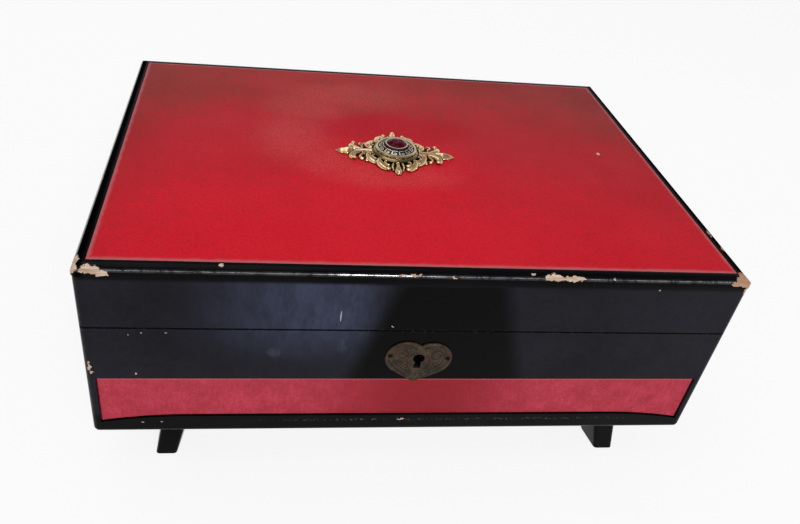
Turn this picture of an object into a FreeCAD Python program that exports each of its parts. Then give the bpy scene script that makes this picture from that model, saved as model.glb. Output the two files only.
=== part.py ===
import FreeCAD, Part
import math
import os

V = FreeCAD.Vector

# Case and lid, outside
width = 260.0
depth = 184.0
foot_height = 22.0
case_height = 58.6
rail_height = 24.5
top_thick = 4.1
top_round = 3.8
top_overhang = 0.3
corner_round = 2.5
bottom_round = 2.3
joint_chamfer = 0.4

# Boards
wall = 9.0
lap = 4.0
bottom_thick = 5.0
bottom_rebate = 4.0

# Red band set into the front
band_margin = 3.7
band_drop = 26.8
band_low_end = 6.4
band_low_mid = 9.6
band_bend_length = 34.0
band_thick = 1.0
band_recess = 1.8
band_edge = 0.4

# Red panel set into the lid
panel_margin = 4.5
panel_thick = 1.2
panel_edge = 0.5
glue_gap = 0.1

# Splayed feet, measured in from the sides and the front
toe_outer_inset = 23.4
toe_front_inset = 5.5
toe_width = 8.7
toe_depth = 13.0
head_outer_inset = 27.1
head_front_inset = 7.5
head_width = 10.3
head_depth = 24.0
foot_flare = 10.6
foot_corner = 1.5
toe_chamfer = 0.8

# Heart keyhole plate, measured down from the lid joint
heart_x = 0.8
heart_half = 13.8
heart_drop = 5.9
heart_dip = 1.8
heart_height = 21.8
heart_thick = 0.9
heart_bevel = 0.3
heart_tip_pull = 1.5
heart_turn = 3.0
heart_pin_x = 11.9
heart_pin_drop = 13.5
key_drop = 14.4
keyhole_r = 2.45
keyhole_length = 5.2
keyhole_neck = 1.2
keyhole_foot = 1.5
keyhole_clear = 0.4

# Box lock let into the front board, measured down from the lid joint
lock_ear = 4.2
lock_height = 22.0
lock_sheet = 1.0
selvedge_depth = 6.5
selvedge_thick = 1.2
cap_half = 13.5
cap_height = 20.0
cap_depth = 5.6
cap_sheet = 0.8
lock_clear = 0.15
bolt_throw = 5.0
bolt_thick = 1.6
bolt_top = 4.6
tongue_height = 3.0
tongue_gap = 1.5
bolt_low = 11.4
bolt_left = -10.0
talon_half = 1.6
talon_high = 9.2
stud_r = 0.8
stud_x = -2.6
stud_z = 7.8
slide_clear = 0.1
post_r = 0.9
post_length = 4.6
spring_thick = 0.4
spring_left = -9.5
spring_right = 4.5
spring_gap = 0.1
lock_screw_z = 12.0

# Staple on the lid that the bolt passes through
staple_x = 9.0
staple_thick = 1.4
staple_wide = 3.8
staple_length = 9.0
staple_round = 1.3
eye_wide = 2.4
eye_low = 8.2
eye_high = 4.0
strike_half = 16.0
strike_screw_x = 13.0
slot_clear = 0.5

# Butt hinges in a bevelled groove at the back
hinge_inset = 50.0
hinge_length = 25.0
axis_inset = 2.2
barrel_r = 1.9
pin_r = 0.9
pin_clear = 0.05
barrel_clear = 0.3
knuckle_gap = 0.2
middle_knuckle = 9.0
leaf_thick = 1.0
leaf_wide = 6.3
leaf_clear = 0.1
leaf_screw_x = 8.0
leaf_screw_y = 3.9
bevel_angle = 50.0

# Wood screws and pins: shank radius, head radius, length
small_screw = (0.9, 1.7, 6.5)
foot_screw = (1.4, 2.8, 14.0)
head_depth_ratio = 0.9
plate_pin_r = 0.5
plate_pin_head = 1.0
plate_pin_rise = 0.6
plate_pin_length = 3.0
screw_fit = 0.05

# Velvet lining, dividers and ring rolls
lining = 1.5
lining_drop = 2.0
lining_round = 0.6
divider_thick = 3.0
divider_height = 33.0
divider_ease = 0.9
divider_dip = 7.0
divider_dip_length = 40.0
ring_width = 84.0
long_divider_y = 12.0
roll_count = 7
roll_height = 27.0
roll_gap = 0.4
roll_end_ease = 4.0

# Mirror in the lid
mirror_margin_x = 33.0
mirror_margin_y = 26.0
mirror_thick = 2.0
mirror_bevel = 6.0
mirror_edge = 1.2
lid_lining_thick = 2.5
lid_lining_gap = 0.3

# Gilt ornament on the lid
ornament_x = -2.2
ornament_y = -2.8
ornament_turn = -2.5
ornament_half_x = 28.1
ornament_half_y = 19.2
ground_thick = 0.8
leaf_skirt = 0.7
bud_r = 1.4
bud_tip = 0.8
bud_rise = 2.4
ring_foot_r = 10.7
ring_foot = 2.0
ring_foot_slope = 0.8
ring_r = 9.6
ring_rim = 4.3
ring_sink = 0.5
ring_lip = 1.0
ring_ease = 0.4
ring_clear = 0.1
collar_r = 5.4
collar_lip = 0.3
collar_step = 1.0
collar_top = 6.1
stone_r = 4.6
stone_table = 2.5
stone_girdle = 0.5
stone_crown = 1.1
stone_pavilion = 2.6
stone_clear = 0.1
stone_sides = 16
ornament_pin_x = 7.0
ornament_pin_r = 0.6
ornament_pin_length = 3.4

# Ornament plan in one quarter: ground discs as centre and radius, piercings as centre, halves and turn
ground_discs = ((0.0, 0.0, 11.4), (10.3, 5.0, 3.4), (5.8, 10.6, 3.4), (14.6, 0.0, 2.8), (0.0, 13.4, 2.8))
piercings = ((10.2, 6.3, 1.3, 0.7, 60.0), (4.4, 11.4, 1.3, 0.7, 75.0))
bud_places = ((19.6, 6.8), (9.2, 9.7), (4.6, 15.2), (0.0, 17.8))

# Leaves in one quarter: along each path the place, half width and rise of its crest
spear_leaf = ((19.8, 0.0, 1.3, 1.2), (22.6, 0.0, 2.7, 1.7), (25.2, 0.0, 2.2, 1.4),
              (ornament_half_x, 0.0, 0.3, 0.3))
stem_leaf = ((10.4, 0.0, 2.0, 1.9), (13.0, 0.0, 1.5, 1.9), (17.0, 0.0, 1.1, 1.5), (20.8, 0.0, 1.7, 1.2))
fleur_leaf = ((15.2, 0.8, 0.8, 1.1), (18.6, 2.2, 1.4, 1.5), (20.5, 4.4, 1.5, 1.4), (19.7, 6.6, 1.0, 0.9))
scroll_leaf = ((10.2, 2.7, 0.9, 1.9), (11.8, 2.9, 1.3, 2.0), (12.9, 4.6, 1.5, 1.9), (12.1, 6.8, 1.5, 1.7),
               (10.5, 8.6, 1.3, 1.4), (9.3, 9.5, 0.9, 1.0))
palm_leaf = ((7.5, 7.5, 0.9, 1.9), (8.3, 9.3, 1.4, 2.0), (7.8, 11.5, 1.6, 1.8), (6.3, 13.4, 1.4, 1.5),
             (4.8, 15.0, 0.9, 1.0))
drop_leaf = ((0.0, 10.4, 1.1, 1.9), (0.0, 13.0, 0.8, 1.6), (0.0, 16.0, 1.3, 1.6),
             (0.0, ornament_half_y, 0.9, 0.6))

# Heights and planes that follow from the sizes above
z_case = foot_height
z_joint = z_case + case_height
z_arris = z_joint + rail_height
z_top = z_arris + top_thick
z_floor = z_case + bottom_thick
front = -depth / 2
back = depth / 2
side = width / 2
front_in = front + wall
back_in = back - wall
side_in = side - wall
axis_y = back - axis_inset
lock_back = front_in - lock_sheet
cap_front = lock_back - cap_depth
works_y = (cap_front + cap_sheet + lock_back) / 2
key_height = z_joint - key_drop
lock_half = cap_half + lock_ear
lock_screw_x = cap_half + lock_ear / 2
bolt_shoulder = staple_x - staple_thick / 2 - bolt_throw - slot_clear
tongue_end = staple_x - staple_thick / 2 - tongue_gap
hinge_x = side - hinge_inset
foot_turn = math.tan(math.radians(foot_flare))
ring_edge = -side_in + lining + ring_width
floor_top = z_floor + lining


def box(x0, x1, y0, y1, z0, z1):
    return Part.makeBox(x1 - x0, y1 - y0, z1 - z0, V(x0, y0, z0))


def rod(r, start, axis, length):
    return Part.makeCylinder(r, length, start, axis)


def solid_of(outline, push):
    return Part.Face(outline).extrude(push)


def mirrored_x(shape):
    return shape.mirror(V(0, 0, 0), V(1, 0, 0))


def edges_where(shape, test):
    return [e for e in shape.Edges if test(e)]


def upright(e):
    a, b = e.Vertexes[0].Point, e.Vertexes[-1].Point
    return abs(a.z - b.z) > 1.0 and math.hypot(a.x - b.x, a.y - b.y) < 0.01


def level_at(z):
    return lambda e: all(abs(v.Point.z - z) < 0.01 for v in e.Vertexes)


def closed_wire(points):
    return Part.makePolygon(points + points[:1])


def flat_sided(outlines):
    """A solid closed by flat faces, each a list of corners that turns left seen from outside."""
    return Part.makeSolid(Part.makeShell([Part.Face(closed_wire(o)) for o in outlines]))


def frustum(low, high):
    """A solid between two outlines, both turning left seen from above, with as many sides each."""
    outlines = [low[::-1], high]
    n = len(low)
    for i in range(n):
        j = (i + 1) % n
        outlines.append([low[i], low[j], high[j], high[i]])
    return flat_sided(outlines)


def screw(place, axis, sizes, grow=0.0):
    """A countersunk screw with its head flush at place and its shank along axis."""
    shank, head, length = sizes
    cone = Part.makeCone(head + grow, shank + grow, head * head_depth_ratio, place, axis)
    return cone.fuse(rod(shank + grow, place, axis, length + grow)).removeSplitter()


def group(solids):
    return Part.makeCompound(solids)


def case_blank():
    """The outside of the closed case: rounded corners and foot edge, eased at the lid joint."""
    blank = box(-side, side, front, back, z_case, z_joint)
    blank = blank.makeFillet(corner_round, edges_where(blank, upright))
    blank = blank.makeFillet(bottom_round, edges_where(blank, level_at(z_case)))
    return blank.makeChamfer(joint_chamfer, edges_where(blank, level_at(z_joint)))


def lid_blank():
    blank = box(-side, side, front, back, z_joint, z_arris)
    blank = blank.makeFillet(corner_round, edges_where(blank, upright))
    return blank.makeChamfer(joint_chamfer, edges_where(blank, level_at(z_joint)))


# Profiles used by more than one piece
def band_outline(y, inset):
    """The band's outline on a plane of constant y; its lower edge drops to both ends."""
    x = side - band_margin - inset
    bend = x - band_bend_length
    top = z_joint - band_drop - inset
    mid = z_case + band_low_mid + inset
    end = z_case + band_low_end + inset
    knee = mid - (mid - end) / 4
    pull = band_bend_length / 2
    edges = [
        Part.makeLine(V(-x, y, top), V(x, y, top)),
        Part.makeLine(V(x, y, top), V(x, y, end)),
        Part.Arc(V(x, y, end), V(bend + pull, y, knee), V(bend, y, mid)).toShape(),
        Part.makeLine(V(bend, y, mid), V(-bend, y, mid)),
        Part.Arc(V(-bend, y, mid), V(-bend - pull, y, knee), V(-x, y, end)).toShape(),
        Part.makeLine(V(-x, y, end), V(-x, y, top)),
    ]
    return Part.Wire(edges)


def heart_outline(y, inset):
    """Two round lobes of one radius, with straight flanks that leave them on a tangent."""
    half = heart_half - inset
    root = half + heart_dip
    r = root - math.sqrt(2 * half * heart_dip)
    cx = half - r
    cz = z_joint - heart_drop - inset - r
    tip = V(0, 0, z_joint - heart_drop - heart_height + inset * heart_tip_pull)
    to_centre = V(cx, 0, cz) - tip
    reach = to_centre.Length
    swing = math.asin(r / reach)
    flank = math.sqrt(reach * reach - r * r)
    aim = math.atan2(to_centre.z, to_centre.x) - swing
    touch = V(tip.x + flank * math.cos(aim), 0, tip.z + flank * math.sin(aim))
    notch = V(0, 0, cz + math.sqrt(r * r - cx * cx))
    shift = V(heart_x, y, 0)
    crown = V(cx + r * math.cos(math.pi / 3), 0, cz + r * math.sin(math.pi / 3))

    def flip(p):
        return V(-p.x, p.y, p.z)

    edges = [
        Part.Arc(notch + shift, crown + shift, touch + shift).toShape(),
        Part.makeLine(touch + shift, tip + shift),
        Part.makeLine(tip + shift, flip(touch) + shift),
        Part.Arc(flip(touch) + shift, flip(crown) + shift, notch + shift).toShape(),
    ]
    return Part.Wire(edges)


def keyhole_tool(y0, y1, grow):
    """A keyhole's round and flared slot as a solid to cut with."""
    round_hole = rod(keyhole_r + grow, V(heart_x, y0, key_height), V(0, 1, 0), y1 - y0)
    neck = keyhole_neck + grow
    low = keyhole_foot + grow
    bottom = key_height - keyhole_length - grow
    slot = closed_wire([
        V(heart_x - neck, y0, key_height),
        V(heart_x + neck, y0, key_height),
        V(heart_x + low, y0, bottom),
        V(heart_x - low, y0, bottom),
    ])
    return round_hole.fuse(solid_of(slot, V(0, y1 - y0, 0))).removeSplitter()


def heart_pin_places():
    """The pins' places on the plate's face, turned with the plate about the key's axis."""
    turn = math.radians(heart_turn)
    lift = key_drop - heart_pin_drop
    places = []
    for x in (-heart_pin_x, heart_pin_x):
        across = x * math.cos(turn) + lift * math.sin(turn)
        up = lift * math.cos(turn) - x * math.sin(turn)
        places.append(V(heart_x + across, front - heart_thick, key_height + up))
    return places


def lock_screw_places():
    z = z_joint - lock_screw_z
    return [V(heart_x + s * lock_screw_x, front_in, z) for s in (-1, 1)]


def strike_screw_places():
    return [V(heart_x + s * strike_screw_x, works_y, z_joint) for s in (-1, 1)]


def foot_screw_places():
    x = side - head_outer_inset - head_width / 2 - head_depth * foot_turn / 4
    y = back - head_front_inset - head_depth / 2
    return [V(sx * x, sy * y, z_floor) for sx in (-1, 1) for sy in (-1, 1)]


def leaf_screw_places():
    y = axis_y - leaf_screw_y
    return [V(s * hinge_x + t * leaf_screw_x, y, z_joint) for s in (-1, 1) for t in (-1, 1)]


# Case boards
def bottom_seat(clear):
    x = side_in + bottom_rebate - clear
    y = back_in + bottom_rebate - clear
    return box(-x, x, -y, y, z_case, z_floor)


def lock_mortise():
    """The room cut in the front board for the lock's works, plate and top edge."""
    x = cap_half + lock_clear
    low = z_joint - cap_height - lock_clear
    cut = box(heart_x - x, heart_x + x, cap_front - lock_clear, front_in, low, z_joint)
    x = lock_half + lock_clear
    low = z_joint - lock_height - lock_clear
    cut = cut.fuse(box(heart_x - x, heart_x + x, lock_back, front_in, low, z_joint))
    edge = front_in - selvedge_depth - lock_clear
    low = z_joint - selvedge_thick
    return cut.fuse(box(heart_x - x, heart_x + x, edge, front_in, low, z_joint))


def end_laps(y0, y1):
    cuts = [box(-side, -side_in, y0, y1, z_case, z_joint)]
    cuts.append(box(side_in, side, y0, y1, z_case, z_joint))
    return cuts


def front_board(blank):
    board = blank.common(box(-side, side, front, front_in, z_case, z_joint))
    cuts = end_laps(front + lap, front_in)
    cuts.append(bottom_seat(0.0))
    cuts.append(solid_of(band_outline(front, 0.0), V(0, band_recess, 0)))
    cuts.append(keyhole_tool(front, front_in, keyhole_clear))
    cuts.append(lock_mortise())
    cuts += [screw(p, V(0, -1, 0), small_screw, screw_fit) for p in lock_screw_places()]
    for p in heart_pin_places():
        cuts.append(rod(plate_pin_r + screw_fit, p, V(0, 1, 0), plate_pin_length + screw_fit))
    return board.cut(cuts)


def hinge_bevel(sign):
    """The wedge taken off a back board so that the lid can swing past upright and stop."""
    fall = sign * axis_inset * math.tan(math.radians(bevel_angle))
    points = [V(-side, axis_y, z_joint), V(-side, back, z_joint), V(-side, back, z_joint + fall)]
    return solid_of(closed_wire(points), V(width, 0, 0))


def hinge_seats(sign):
    """Leaf recesses and barrel grooves for both hinges, below or above the lid joint."""
    cuts = []
    half = hinge_length / 2 + leaf_clear
    for x in (-hinge_x, hinge_x):
        z = sorted([z_joint, z_joint + sign * leaf_thick])
        inner = axis_y - leaf_wide - leaf_clear
        cuts.append(box(x - half, x + half, inner, axis_y, z[0], z[1]))
        start = V(x - half, axis_y, z_joint)
        cuts.append(rod(barrel_r + barrel_clear, start, V(1, 0, 0), 2 * half))
    return cuts + [screw(p, V(0, 0, sign), small_screw, screw_fit) for p in leaf_screw_places()]


def back_board(blank):
    board = blank.common(box(-side, side, back_in, back, z_case, z_joint))
    cuts = end_laps(back_in, back - lap)
    cuts.append(bottom_seat(0.0))
    cuts.append(hinge_bevel(-1))
    return board.cut(cuts + hinge_seats(-1))


def right_board(blank):
    board = blank.common(box(side_in, side, front + lap, back - lap, z_case, z_joint))
    return board.cut(bottom_seat(0.0))


def bottom_panel():
    panel = bottom_seat(glue_gap)
    return panel.cut([screw(p, V(0, 0, -1), foot_screw, screw_fit) for p in foot_screw_places()])


def front_band():
    """The strip lies on the floor of its recess with a softened outer edge."""
    floor = front + band_recess
    face = floor - band_thick
    back_wire = band_outline(floor, glue_gap)
    ease_wire = band_outline(face + band_edge, glue_gap)
    face_wire = band_outline(face, glue_gap + band_edge)
    strip = Part.makeLoft([back_wire, ease_wire], True, True)
    return strip.fuse(Part.makeLoft([ease_wire, face_wire], True, True)).removeSplitter()


# Feet
def foot_section(outer_inset, wide, front_inset, deep, z):
    outer = side - outer_inset
    inner = outer - wide
    near = front + front_inset
    far = near + deep
    return [V(inner, near, z), V(outer, near, z), V(outer, far, z), V(inner - deep * foot_turn, far, z)]


def foot(sx, sy):
    """One splayed, tapered foot, drawn for the front right corner and mirrored to the others."""
    toe = foot_section(toe_outer_inset, toe_width, toe_front_inset, toe_depth, 0.0)
    head = foot_section(head_outer_inset, head_width, head_front_inset, head_depth, z_case)
    leg = frustum(toe, head)
    rising = edges_where(leg, lambda e: abs(e.Vertexes[0].Point.z - e.Vertexes[-1].Point.z) > 1.0)
    leg = leg.makeFillet(foot_corner, rising)
    leg = leg.makeChamfer(toe_chamfer, edges_where(leg, level_at(0.0)))
    if sx < 0:
        leg = mirrored_x(leg)
    if sy > 0:
        leg = leg.mirror(V(0, 0, 0), V(0, 1, 0))
    return leg.cut([screw(p, V(0, 0, -1), foot_screw, screw_fit) for p in foot_screw_places()])


# Keyhole plate
def heart_plate():
    """Bevelled heart with a keyhole, nailed on a little turned about the key's axis."""
    face = front - heart_thick
    flat = solid_of(heart_outline(front, 0.0), V(0, heart_bevel - heart_thick, 0))
    rim = heart_outline(face + heart_bevel, 0.0)
    bevel = Part.makeLoft([rim, heart_outline(face, heart_bevel)], True, True)
    plate = flat.fuse(bevel).removeSplitter().cut(keyhole_tool(face, front, 0.0))
    plate.rotate(V(heart_x, 0, key_height), V(0, 1, 0), heart_turn)
    return plate.cut([rod(plate_pin_r + screw_fit, p, V(0, 1, 0), heart_thick) for p in heart_pin_places()])


def heart_pin(place):
    """A pin whose low head stands on the plate and whose shank runs into the board."""
    shank = rod(plate_pin_r, place, V(0, 1, 0), plate_pin_length)
    head = Part.makeCone(plate_pin_head, plate_pin_r, plate_pin_rise, place, V(0, -1, 0))
    return shank.fuse(head).removeSplitter()


# Lock
def lock_at(shape):
    return shape.translated(V(heart_x, 0, 0))


def lock_plate():
    """Face plate and top edge bent from one sheet, with the stud that guides the bolt."""
    low = z_joint - lock_height
    plate = box(-lock_half, lock_half, lock_back, front_in, low, z_joint)
    edge = front_in - selvedge_depth
    plate = plate.fuse(box(-lock_half, lock_half, edge, front_in, z_joint - selvedge_thick, z_joint))
    stud = V(stud_x, lock_back, z_joint - stud_z)
    plate = plate.fuse(rod(stud_r, stud, V(0, -1, 0), (lock_back - works_y) + bolt_thick / 2))
    x = staple_thick / 2 + slot_clear
    y = staple_wide / 2 + slot_clear
    slot = box(staple_x - x, staple_x + x, works_y - y, works_y + y, low, z_joint)
    slot = slot.common(box(-lock_half, lock_half, edge, lock_back, low, z_joint))
    plate = lock_at(plate.cut(slot).removeSplitter())
    holes = [screw(p, V(0, -1, 0), small_screw, screw_fit) for p in lock_screw_places()]
    holes.append(rod(post_r, V(heart_x, lock_back, key_height), V(0, 1, 0), lock_sheet))
    return plate.cut(holes)


def lock_cap():
    """A shallow tray around the works, open to the plate and to the top edge."""
    low = z_joint - cap_height
    high = z_joint - selvedge_thick
    tray = box(-cap_half, cap_half, cap_front, lock_back, low, high)
    inner = cap_half - cap_sheet
    tray = tray.cut(box(-inner, inner, cap_front + cap_sheet, lock_back, low + cap_sheet, high))
    return lock_at(tray).cut(keyhole_tool(cap_front, cap_front + cap_sheet, 0.0))


def lock_post():
    y = lock_back + lock_sheet
    shaft = rod(post_r, V(heart_x, y, key_height), V(0, -1, 0), lock_sheet + post_length)
    tip = edges_where(shaft, lambda e: all(v.Point.y < lock_back - 1 for v in e.Vertexes))
    return shaft.makeChamfer(post_r / 3, tip[:1])


def lock_bolt():
    """Sliding bolt: tongue for the staple, guide slot, and a notch for the key's bit."""
    y0 = works_y - bolt_thick / 2
    y1 = works_y + bolt_thick / 2
    top = z_joint - bolt_top
    bolt = box(bolt_left, bolt_shoulder, y0, y1, z_joint - bolt_low, top)
    bolt = bolt.fuse(box(bolt_shoulder, tongue_end, y0, y1, top - tongue_height, top))
    notch = box(-talon_half, talon_half, y0, y1, z_joint - bolt_low, z_joint - talon_high)
    run = stud_r + slide_clear
    z = z_joint - stud_z
    slot = box(stud_x - bolt_throw, stud_x, y0, y1, z - run, z + run)
    for x in (stud_x - bolt_throw, stud_x):
        slot = slot.fuse(rod(run, V(x, y0, z), V(0, 1, 0), bolt_thick))
    return lock_at(bolt.cut([notch, slot]).removeSplitter())


def lock_spring():
    """A bowed leaf between the top edge and the bolt."""
    high = z_joint - selvedge_thick - spring_gap
    low = z_joint - bolt_top + spring_gap
    mid = (spring_left + spring_right) / 2
    y = works_y - bolt_thick / 2
    outer = Part.Arc(V(spring_left, y, high), V(mid, y, low + spring_thick), V(spring_right, y, high))
    end_a = V(spring_left, y, high - spring_thick)
    end_b = V(spring_right, y, high - spring_thick)
    inner = Part.Arc(end_b, V(mid, y, low), end_a)
    edges = [outer.toShape(), Part.makeLine(V(spring_right, y, high), end_b), inner.toShape()]
    edges.append(Part.makeLine(end_a, V(spring_left, y, high)))
    return lock_at(solid_of(Part.Wire(edges), V(0, bolt_thick, 0)))


def strike_plate():
    """Plate under the lid's front rail with a staple that drops into the lock."""
    edge = front_in - selvedge_depth
    plate = box(-strike_half, strike_half, edge, front_in, z_joint, z_joint + selvedge_thick)
    x = staple_thick / 2
    y = staple_wide / 2
    low = z_joint - staple_length
    staple = box(staple_x - x, staple_x + x, works_y - y, works_y + y, low, z_joint + selvedge_thick)
    staple = staple.makeFillet(staple_round, edges_where(
        staple, lambda e: level_at(low)(e) and abs(e.tangentAt(e.FirstParameter).x) > 0.9))
    y = eye_wide / 2
    eye = box(staple_x - x, staple_x + x, works_y - y, works_y + y, z_joint - eye_low, z_joint - eye_high)
    plate = lock_at(plate.fuse(staple.cut(eye)).removeSplitter())
    return plate.cut([screw(p, V(0, 0, 1), small_screw, screw_fit) for p in strike_screw_places()])


# Hinges
def hinge_leaf(x, sign):
    """One leaf with its knuckles: two outer ones on the case, the middle one on the lid."""
    half = hinge_length / 2
    mid = middle_knuckle / 2
    z = sorted([z_joint, z_joint + sign * leaf_thick])
    leaf = box(-half, half, axis_y - leaf_wide, axis_y, z[0], z[1])
    centre = V(-half, axis_y, z_joint)
    whole = rod(barrel_r, centre, V(1, 0, 0), hinge_length)
    wide = barrel_r + barrel_clear
    if sign < 0:
        away = rod(wide, V(-mid - knuckle_gap, axis_y, z_joint), V(1, 0, 0), 2 * (mid + knuckle_gap))
        leaf = leaf.fuse(whole).cut(away)
    else:
        ends = [rod(wide, V(-half, axis_y, z_joint), V(1, 0, 0), half - mid)]
        ends.append(rod(wide, V(mid, axis_y, z_joint), V(1, 0, 0), half - mid))
        leaf = leaf.fuse(whole).cut(ends)
    leaf = leaf.cut(rod(pin_r + pin_clear, centre, V(1, 0, 0), hinge_length)).removeSplitter()
    holes = [screw(p, V(0, 0, sign), small_screw, screw_fit) for p in leaf_screw_places()]
    return leaf.translated(V(x, 0, 0)).cut(holes)


def hinge_pin(x):
    start = V(x - hinge_length / 2, axis_y, z_joint)
    return rod(pin_r, start, V(1, 0, 0), hinge_length)


# Lid
def lid_top_board():
    """Thin board with a quarter round on all four edges and a shallow bed for the red panel."""
    x = side + top_overhang
    y = back + top_overhang

    def hood(half, long_way, run):
        r = top_round
        flat = half - r
        turn = r * math.sqrt(0.5)
        rim = z_top - r
        edges = [
            Part.makeLine(long_way(-half, z_arris), long_way(half, z_arris)),
            Part.makeLine(long_way(half, z_arris), long_way(half, rim)),
            Part.Arc(long_way(half, rim), long_way(flat + turn, rim + turn), long_way(flat, z_top)).toShape(),
            Part.makeLine(long_way(flat, z_top), long_way(-flat, z_top)),
            Part.Arc(long_way(-flat, z_top), long_way(-flat - turn, rim + turn),
                     long_way(-half, rim)).toShape(),
            Part.makeLine(long_way(-half, rim), long_way(-half, z_arris)),
        ]
        return solid_of(Part.Wire(edges), run)

    across = hood(x, lambda a, z: V(a, -y, z), V(0, 2 * y, 0))
    along = hood(y, lambda a, z: V(-x, a, z), V(2 * x, 0, 0))
    plan = box(-x, x, -y, y, z_arris, z_top)
    plan = plan.makeFillet(corner_round, edges_where(plan, upright))
    board = across.common(along).common(plan)
    bed_x = side - panel_margin
    bed_y = back - panel_margin
    cuts = [box(-bed_x, bed_x, -bed_y, bed_y, z_top - panel_thick, z_top)]
    return board.cut(cuts + ornament_pin_holes())


def lid_panel():
    x = side - panel_margin - glue_gap
    y = back - panel_margin - glue_gap
    panel = box(-x, x, -y, y, z_top - panel_thick, z_top)
    panel = panel.makeFillet(panel_edge, edges_where(panel, level_at(z_top)))
    return panel.cut(ornament_pin_holes())


def lid_laps(y0, y1):
    cuts = [box(-side, -side_in, y0, y1, z_joint, z_arris)]
    cuts.append(box(side_in, side, y0, y1, z_joint, z_arris))
    return cuts


def lid_front_rail(blank):
    rail = blank.common(box(-side, side, front, front_in, z_joint, z_arris))
    x = strike_half + lock_clear
    edge = front_in - selvedge_depth - lock_clear
    cuts = lid_laps(front + lap, front_in)
    cuts.append(box(heart_x - x, heart_x + x, edge, front_in, z_joint, z_joint + selvedge_thick))
    cuts += [screw(p, V(0, 0, 1), small_screw, screw_fit) for p in strike_screw_places()]
    return rail.cut(cuts)


def lid_back_rail(blank):
    rail = blank.common(box(-side, side, back_in, back, z_joint, z_arris))
    cuts = lid_laps(back_in, back - lap)
    cuts.append(hinge_bevel(1))
    return rail.cut(cuts + hinge_seats(1))


def lid_right_rail(blank):
    return blank.common(box(side_in, side, front + lap, back - lap, z_joint, z_arris))


def lid_lining():
    """Velvet covered board glued under the lid's top."""
    x = side_in - lid_lining_gap
    y = back_in - lid_lining_gap
    low = z_arris - lid_lining_thick
    board = box(-x, x, -y, y, low, z_arris)
    return board.makeFillet(lining_round, edges_where(board, level_at(low)))


def mirror():
    """Bevelled glass on the lid's lining; the bevel thins it to its edge."""

    def sheet(inset, z):
        x = side_in - mirror_margin_x - inset
        y = back_in - mirror_margin_y - inset
        return [V(-x, -y, z), V(x, -y, z), V(x, y, z), V(-x, y, z)]

    high = z_arris - lid_lining_thick
    edge = high - mirror_edge
    low = high - mirror_thick
    glass = frustum(sheet(0.0, edge), sheet(0.0, high))
    return glass.fuse(frustum(sheet(mirror_bevel, low), sheet(0.0, edge))).removeSplitter()


# Lining of the case
def floor_lining():
    return box(-side_in, side_in, front_in, back_in, z_floor, z_floor + lining)


def wall_lining(x0, x1, y0, y1):
    high = z_joint - lining_drop
    board = box(x0, x1, y0, y1, z_floor + lining, high)
    return board.makeFillet(lining_round, edges_where(board, level_at(high)))


def divider(length):
    """An upright divider along X with an eased top and a finger dip, standing at the origin."""
    half = divider_dip_length / 2
    low = divider_height - divider_dip
    edges = [
        Part.makeLine(V(0, 0, 0), V(length, 0, 0)),
        Part.makeLine(V(length, 0, 0), V(length, 0, divider_height)),
        Part.makeLine(V(length, 0, divider_height), V(length / 2 + half, 0, divider_height)),
        Part.Arc(V(length / 2 + half, 0, divider_height), V(length / 2, 0, low),
                 V(length / 2 - half, 0, divider_height)).toShape(),
        Part.makeLine(V(length / 2 - half, 0, divider_height), V(0, 0, divider_height)),
        Part.makeLine(V(0, 0, divider_height), V(0, 0, 0)),
    ]
    board = solid_of(Part.Wire(edges), V(0, divider_thick, 0))
    tops = edges_where(board, lambda e: all(v.Point.z > low for v in e.Vertexes)
                       and abs(e.tangentAt(e.FirstParameter).y) < 0.1)
    return board.makeChamfer(divider_ease, tops)


def cross_divider():
    board = divider(2 * (back_in - lining))
    board.rotate(V(0, 0, 0), V(0, 0, 1), 90)
    board.translate(V(ring_edge + divider_thick, front_in + lining, floor_top))
    return board


def long_divider():
    start = ring_edge + divider_thick
    board = divider(side_in - lining - start)
    board.translate(V(start, long_divider_y, floor_top))
    return board


def ring_roll(index):
    """One padded roll with a round crown and softened ends."""
    pitch = 2 * (back_in - lining) / roll_count
    y0 = front_in + lining + index * pitch + roll_gap / 2
    y1 = y0 + pitch - roll_gap
    x0 = -side_in + lining + roll_gap
    r = (y1 - y0) / 2
    crown = floor_top + roll_height
    shoulder = crown - r
    mid = (y0 + y1) / 2
    edges = [
        Part.makeLine(V(x0, y0, floor_top), V(x0, y1, floor_top)),
        Part.makeLine(V(x0, y1, floor_top), V(x0, y1, shoulder)),
        Part.Arc(V(x0, y1, shoulder), V(x0, mid, crown), V(x0, y0, shoulder)).toShape(),
        Part.makeLine(V(x0, y0, shoulder), V(x0, y0, floor_top)),
    ]
    roll = solid_of(Part.Wire(edges), V(ring_width - 2 * roll_gap, 0, 0))
    arcs = edges_where(roll, lambda e: isinstance(e.Curve, Part.Circle))
    return roll.makeChamfer(roll_end_ease, arcs)


# Ornament
def ornament_pins():
    pins = []
    for s in (-1, 1):
        p = V(s * ornament_pin_x, 0, z_top)
        pins.append(on_lid(rod(ornament_pin_r, p, V(0, 0, -1), ornament_pin_length)))
    return pins


def ornament_pin_holes():
    holes = []
    for s in (-1, 1):
        p = V(s * ornament_pin_x, 0, z_top)
        r = ornament_pin_r + screw_fit
        holes.append(on_lid(rod(r, p, V(0, 0, -1), ornament_pin_length + screw_fit)))
    return holes


def on_lid(shape):
    """Turns and moves a piece drawn at the lid's centre to where the ornament sits."""
    placed = shape.copy()
    placed.rotate(V(0, 0, 0), V(0, 0, 1), ornament_turn)
    placed.translate(V(ornament_x, ornament_y, 0))
    return placed


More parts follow.
